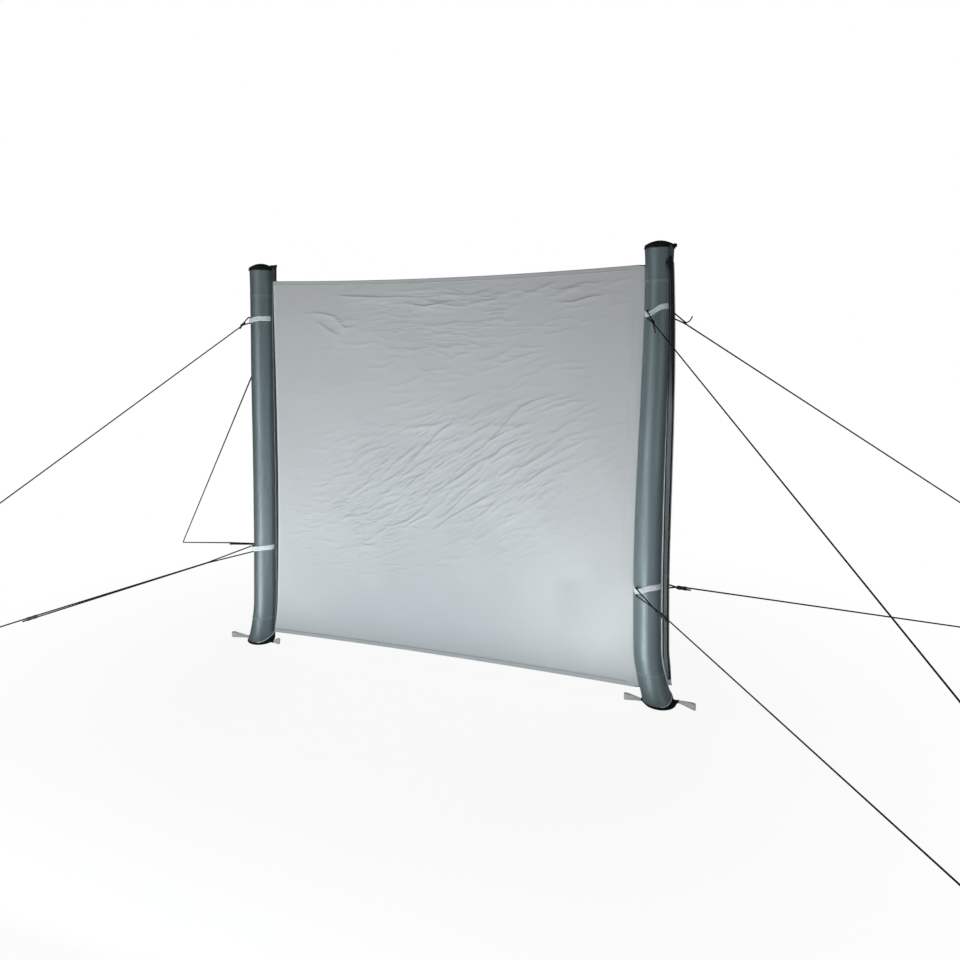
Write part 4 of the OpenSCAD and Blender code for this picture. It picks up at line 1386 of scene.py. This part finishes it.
# Line sliders
# A slider is a flat moulded bar of black nylon with two holes for the cord and a waist to grip. Pushed along
# the lower run it takes up the slack, and the cord's own friction locks it.
slider_w, slider_t = 0.018, 0.008
slider_waist, waist_reach = 0.0016, 0.22 * slider_l
slider_round = 0.0014
slider_flat = 0.0035
slider_square = 5
collar_r = 0.0007
slider_columns, collar_columns = 64, 24
slider_layers = [(-0.5, slider_flat), (-0.5, slider_round), (-0.42, slider_round / 4), (-0.25, 0), (0.25, 0),
                 (0.42, slider_round / 4), (0.5, slider_round), (0.5, slider_flat)]
slider_plastic = moulded_finish("black_slider_plastic", (24, 24, 26), (18, 18, 20), 0.42)
for name, (mid, way, upright) in guy_ties.items():
    flat = np.cross(way, upright)
    turn = np.linspace(0, math.tau, slider_columns + 1)[:-1]
    along = squared(np.cos(turn), slider_square) * slider_l / 2
    across = squared(np.sin(turn), slider_square) * slider_w / 2
    across = across * (1 - slider_waist / (slider_w / 2) * np.exp(-(along / waist_reach) ** 2))
    rings = []
    for lift, inset in slider_layers:
        scale_along, scale_across = 1 - inset / (slider_l / 2), 1 - inset / (slider_w / 2)
        rings.append(mid + np.outer(along * scale_along, way) + np.outer(across * scale_across, upright)
                     + flat * lift * slider_t)
    rings = np.array(rings)
    rings = np.concatenate([rings, rings[:, :1]], 1)
    parts = [(rings, closed_tube(*rings.shape[:2]))]
    for strand in (-1, 1):
        for end in (-1, 1):
            ring_turn = np.linspace(0, math.tau, collar_columns + 1)
            centre = mid + upright * strand * slider_pitch / 2 + way * end * slider_l / 2
            around = np.cos(ring_turn)[:, None] * upright + np.sin(ring_turn)[:, None] * flat
            parts.append(cord(centre + around * (line_d / 2 + collar_r), collar_r)[:2])
    make_joined(f"{name}_line_slider", parts, slider_plastic, "slider", [f"{name}_slider"])


# Zip pulls
# Each free zip ends low on its tube in a moulded slider. A pale cloth tab is fixed to it, to pull it up by,
# and hangs in front of the teeth.
pull_w = 0.011
pull_t = 0.0014
pull_square, pull_least = 6, 0.05
pull_rows, pull_columns = 21, 7
zip_slider_size = (0.0058, 0.0040, 0.0060)
zip_slider_square = 4
pull_weave = (0.0016, 0.0004)
pull_cloth = woven_finish("pale_zip_pull", (196, 204, 206), (180, 188, 190), pull_weave, streak=(60, 60))
for side in sides:
    node = f"{side}_outer_zip_pull"
    low, high = reach_up(node)
    up, across = crossed(np.linspace(-1, 1, pull_rows), np.linspace(-1, 1, pull_columns))
    z = (low + high) / 2 + up * (high - low) / 2
    wide = pull_w / 2 * np.clip(1 - up ** pull_square, pull_least, 1) ** 0.5
    pull_r = zip_start("outer", np.array((low + high) / 2)) + zip_w / 2
    lift = -(zip_t / 2 + fit + pull_t) + pull_t / 3 * across ** 2
    tab = thick_sheet(on_flange(side, "outer", z, pull_r + across * wide, lift), pull_t)
    make_piece(f"{side}_pull_tab", *tab, pull_cloth, "pull", [node])
    spot = on_flange(side, "outer", np.array([high]), np.array([pull_r]), np.zeros(1))[0]
    zip_slider = lump(spot, zip_slider_size, zip_slider_square, float(outer_seam(side, np.array(high))))
    make_joined(f"{side}_zip_slider", [zip_slider], tooth_plastic, "zip")


# Inflation valves
# A moulded black valve is welded into the sheltered side of each tube: a flat base, a short neck and a ribbed
# screw cap that a hand can turn.
valve_z = 0.300
valve_base_r, valve_neck_r, valve_cap_r, valve_face_r = 0.022, 0.014, 0.017, 0.016
valve_ribs = 28
valve_rib_h = 0.0005
valve_columns = 168
valve_profile = [
    (valve_base_r, -0.003), (valve_base_r, 0.0012), (valve_base_r - 0.0008, 0.002),
    (valve_neck_r + 0.001, 0.0024), (valve_neck_r, 0.0032), (valve_neck_r, 0.006),
    (valve_cap_r - 0.0004, 0.0062), (valve_cap_r, 0.007), (valve_cap_r, 0.0142),
    (valve_cap_r - 0.0003, 0.015),
    (valve_face_r + 0.0002, 0.0152), (valve_face_r - 0.0002, 0.0168), (valve_face_r - 0.001, 0.017),
    (0.0004, 0.0166),
]
valve_plastic = moulded_finish("black_valve_plastic", (40, 41, 43), (30, 31, 33), 0.45)
for side in sides:
    base_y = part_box(f"{side}_valve")[0].y
    turn = np.linspace(0, math.tau, valve_columns + 1)
    rings = []
    for r, y in valve_profile:
        out = r + (valve_rib_h * np.cos(valve_ribs * turn) if r == valve_cap_r else 0 * turn)
        rings.append(np.stack([axis_x(side, valve_z) + out * np.cos(turn), np.full_like(turn, base_y + y),
                               valve_z + out * np.sin(turn)], 1))
    rings = np.array(rings)[:, ::-1]
    make_joined(f"{side}_air_valve", [(rings, grid_quads(*rings.shape[:2]))], valve_plastic, "valve",
                [f"{side}_valve"])


# Floor, light and camera
# A plain pale floor under soft light. Tall lamps and low strips on the ground draw the long highlights on the
# tubes, wide lamps near the ground light the panel as pale ground does, and larger ones stand farther off, in
# front and behind. The camera stands where the photograph was taken from.
floor_size = 60
floor_colour = (0.9, 0.9, 0.9, 1)
floor_shadow_share = 0.08
floor_clear_near, floor_clear_far = 1.2, 2.8
sky_strength = 0.12
camera_place = (2.463, -3.269, 1.485)
camera_turn = math.radians(20.54)
picture_w = 960
focal_px = 740
horizon_px = 360.9
sensor_w = 36
floor_mesh = bpy.data.meshes.new("floor")
half = floor_size / 2
floor_corners = [(-half, -half, 0), (half, -half, 0), (half, half, 0), (-half, half, 0)]
floor_mesh.from_pydata(floor_corners, [], [(0, 1, 2, 3)])
floor = bpy.data.objects.new("floor", floor_mesh)
bpy.context.scene.collection.objects.link(floor)
floor_finish, tree, shader = new_finish("pale_floor")
tree.nodes.remove(shader)
lit = add_node(tree, "ShaderNodeBsdfDiffuse", {"Color": floor_colour}).outputs["BSDF"]
white = add_node(tree, "ShaderNodeEmission", {"Color": (1, 1, 1, 1), "Strength": 1}).outputs["Emission"]
rays = add_node(tree, "ShaderNodeLightPath", {}).outputs
spot = add_node(tree, "ShaderNodeNewGeometry", {}).outputs["Position"]
centre = ((foot_x["left"] + foot_x["right"]) / 2, 0, 0)
apart = add_node(tree, "ShaderNodeVectorMath", {0: spot, 1: centre}, operation="DISTANCE").outputs["Value"]
clear = ramp(tree, apart, floor_clear_near, floor_clear_far, 1 - floor_shadow_share, 1)
part = worked_out(tree, "MULTIPLY", rays["Is Camera Ray"], clear)
mixed = add_node(tree, "ShaderNodeMixShader", {0: part, 1: lit, 2: white}).outputs["Shader"]
tree.links.new(mixed, tree.nodes["Material Output"].inputs["Surface"])
floor_mesh.materials.append(floor_finish)

world = bpy.data.worlds.new("sky")
bpy.context.scene.world = world
world.use_nodes = True
tree = world.node_tree
rays = add_node(tree, "ShaderNodeLightPath", {}).outputs
seen = worked_out(tree, "MAXIMUM", rays["Is Camera Ray"], rays["Is Transmission Ray"])
tree.nodes["Background"].inputs["Color"].default_value = (1, 1, 1, 1)
tree.links.new(ramp(tree, seen, start=sky_strength), tree.nodes["Background"].inputs["Strength"])


def soft_lamp(name, place, way, size, power, mirrored=False, colour=(1, 1, 1)):
    """A rectangular lamp. way is the point that it faces, or its turn in degrees if it lies on the ground."""
    light = bpy.data.lights.new(name, "AREA")
    light.shape = "RECTANGLE"
    light.size, light.size_y = size
    light.energy = power
    light.color = colour
    lamp = bpy.data.objects.new(name, light)
    lamp.location = place
    if isinstance(way, tuple):
        lamp.rotation_euler = (Vector(way) - Vector(place)).to_track_quat("-Z", "Y").to_euler()
    else:
        lamp.rotation_euler = (math.pi, 0, math.radians(way))
    lamp.visible_camera = False
    lamp.visible_glossy = mirrored
    bpy.context.scene.collection.objects.link(lamp)


soft_lamp("tall_lamp", (-0.60, -3.08, 1.0), (1.0, 0, 0.9), (0.6, 1.9), 18, mirrored=True)
soft_lamp("left_ground_lamp", (-0.27, -1.60, 0.03), 79.7, (2.4, 0.18), 17, mirrored=True)
soft_lamp("right_ground_lamp", (1.508, -1.702, 0.03), 73.4, (2.85, 0.20), 19, mirrored=True)
soft_lamp("right_side_lamp", (3.68, -1.47, 0.9), (2.05, 0, 0.9), (0.6, 1.7), 3.8, mirrored=True)
soft_lamp("near_ground_lamp", (1.0, -0.58, 0.03), 0, (2.2, 0.85), 4.9, colour=(0.78, 0.92, 1.0))
soft_lamp("low_front_lamp", (0.9, -1.9, 0.22), (0.9, 0, 0.3), (2.2, 0.3), 8, colour=(0.80, 0.93, 1.0))
soft_lamp("front_lamp", (1.6, -4.5, 1.6), (1.2, 0, 0.9), (3.0, 2.0), 6)
soft_lamp("rear_ground_lamp", (1.0, 0.85, 0.03), 0, (2.2, 0.85), 8)
soft_lamp("rear_lamp", (-0.5, 6.0, 3.5), (1.0, 0, 0.9), (5.0, 3.0), 150)

camera = bpy.data.cameras.new("camera")
camera.sensor_width = sensor_w
camera.lens = focal_px * sensor_w / picture_w
camera.shift_y = (horizon_px - picture_w / 2) / picture_w
camera.clip_end = 200
viewer = bpy.data.objects.new("camera", camera)
viewer.location = camera_place
viewer.rotation_euler = (math.pi / 2, 0, camera_turn)
bpy.context.scene.collection.objects.link(viewer)
bpy.context.scene.camera = viewer
bpy.context.scene.view_settings.view_transform = "Standard"
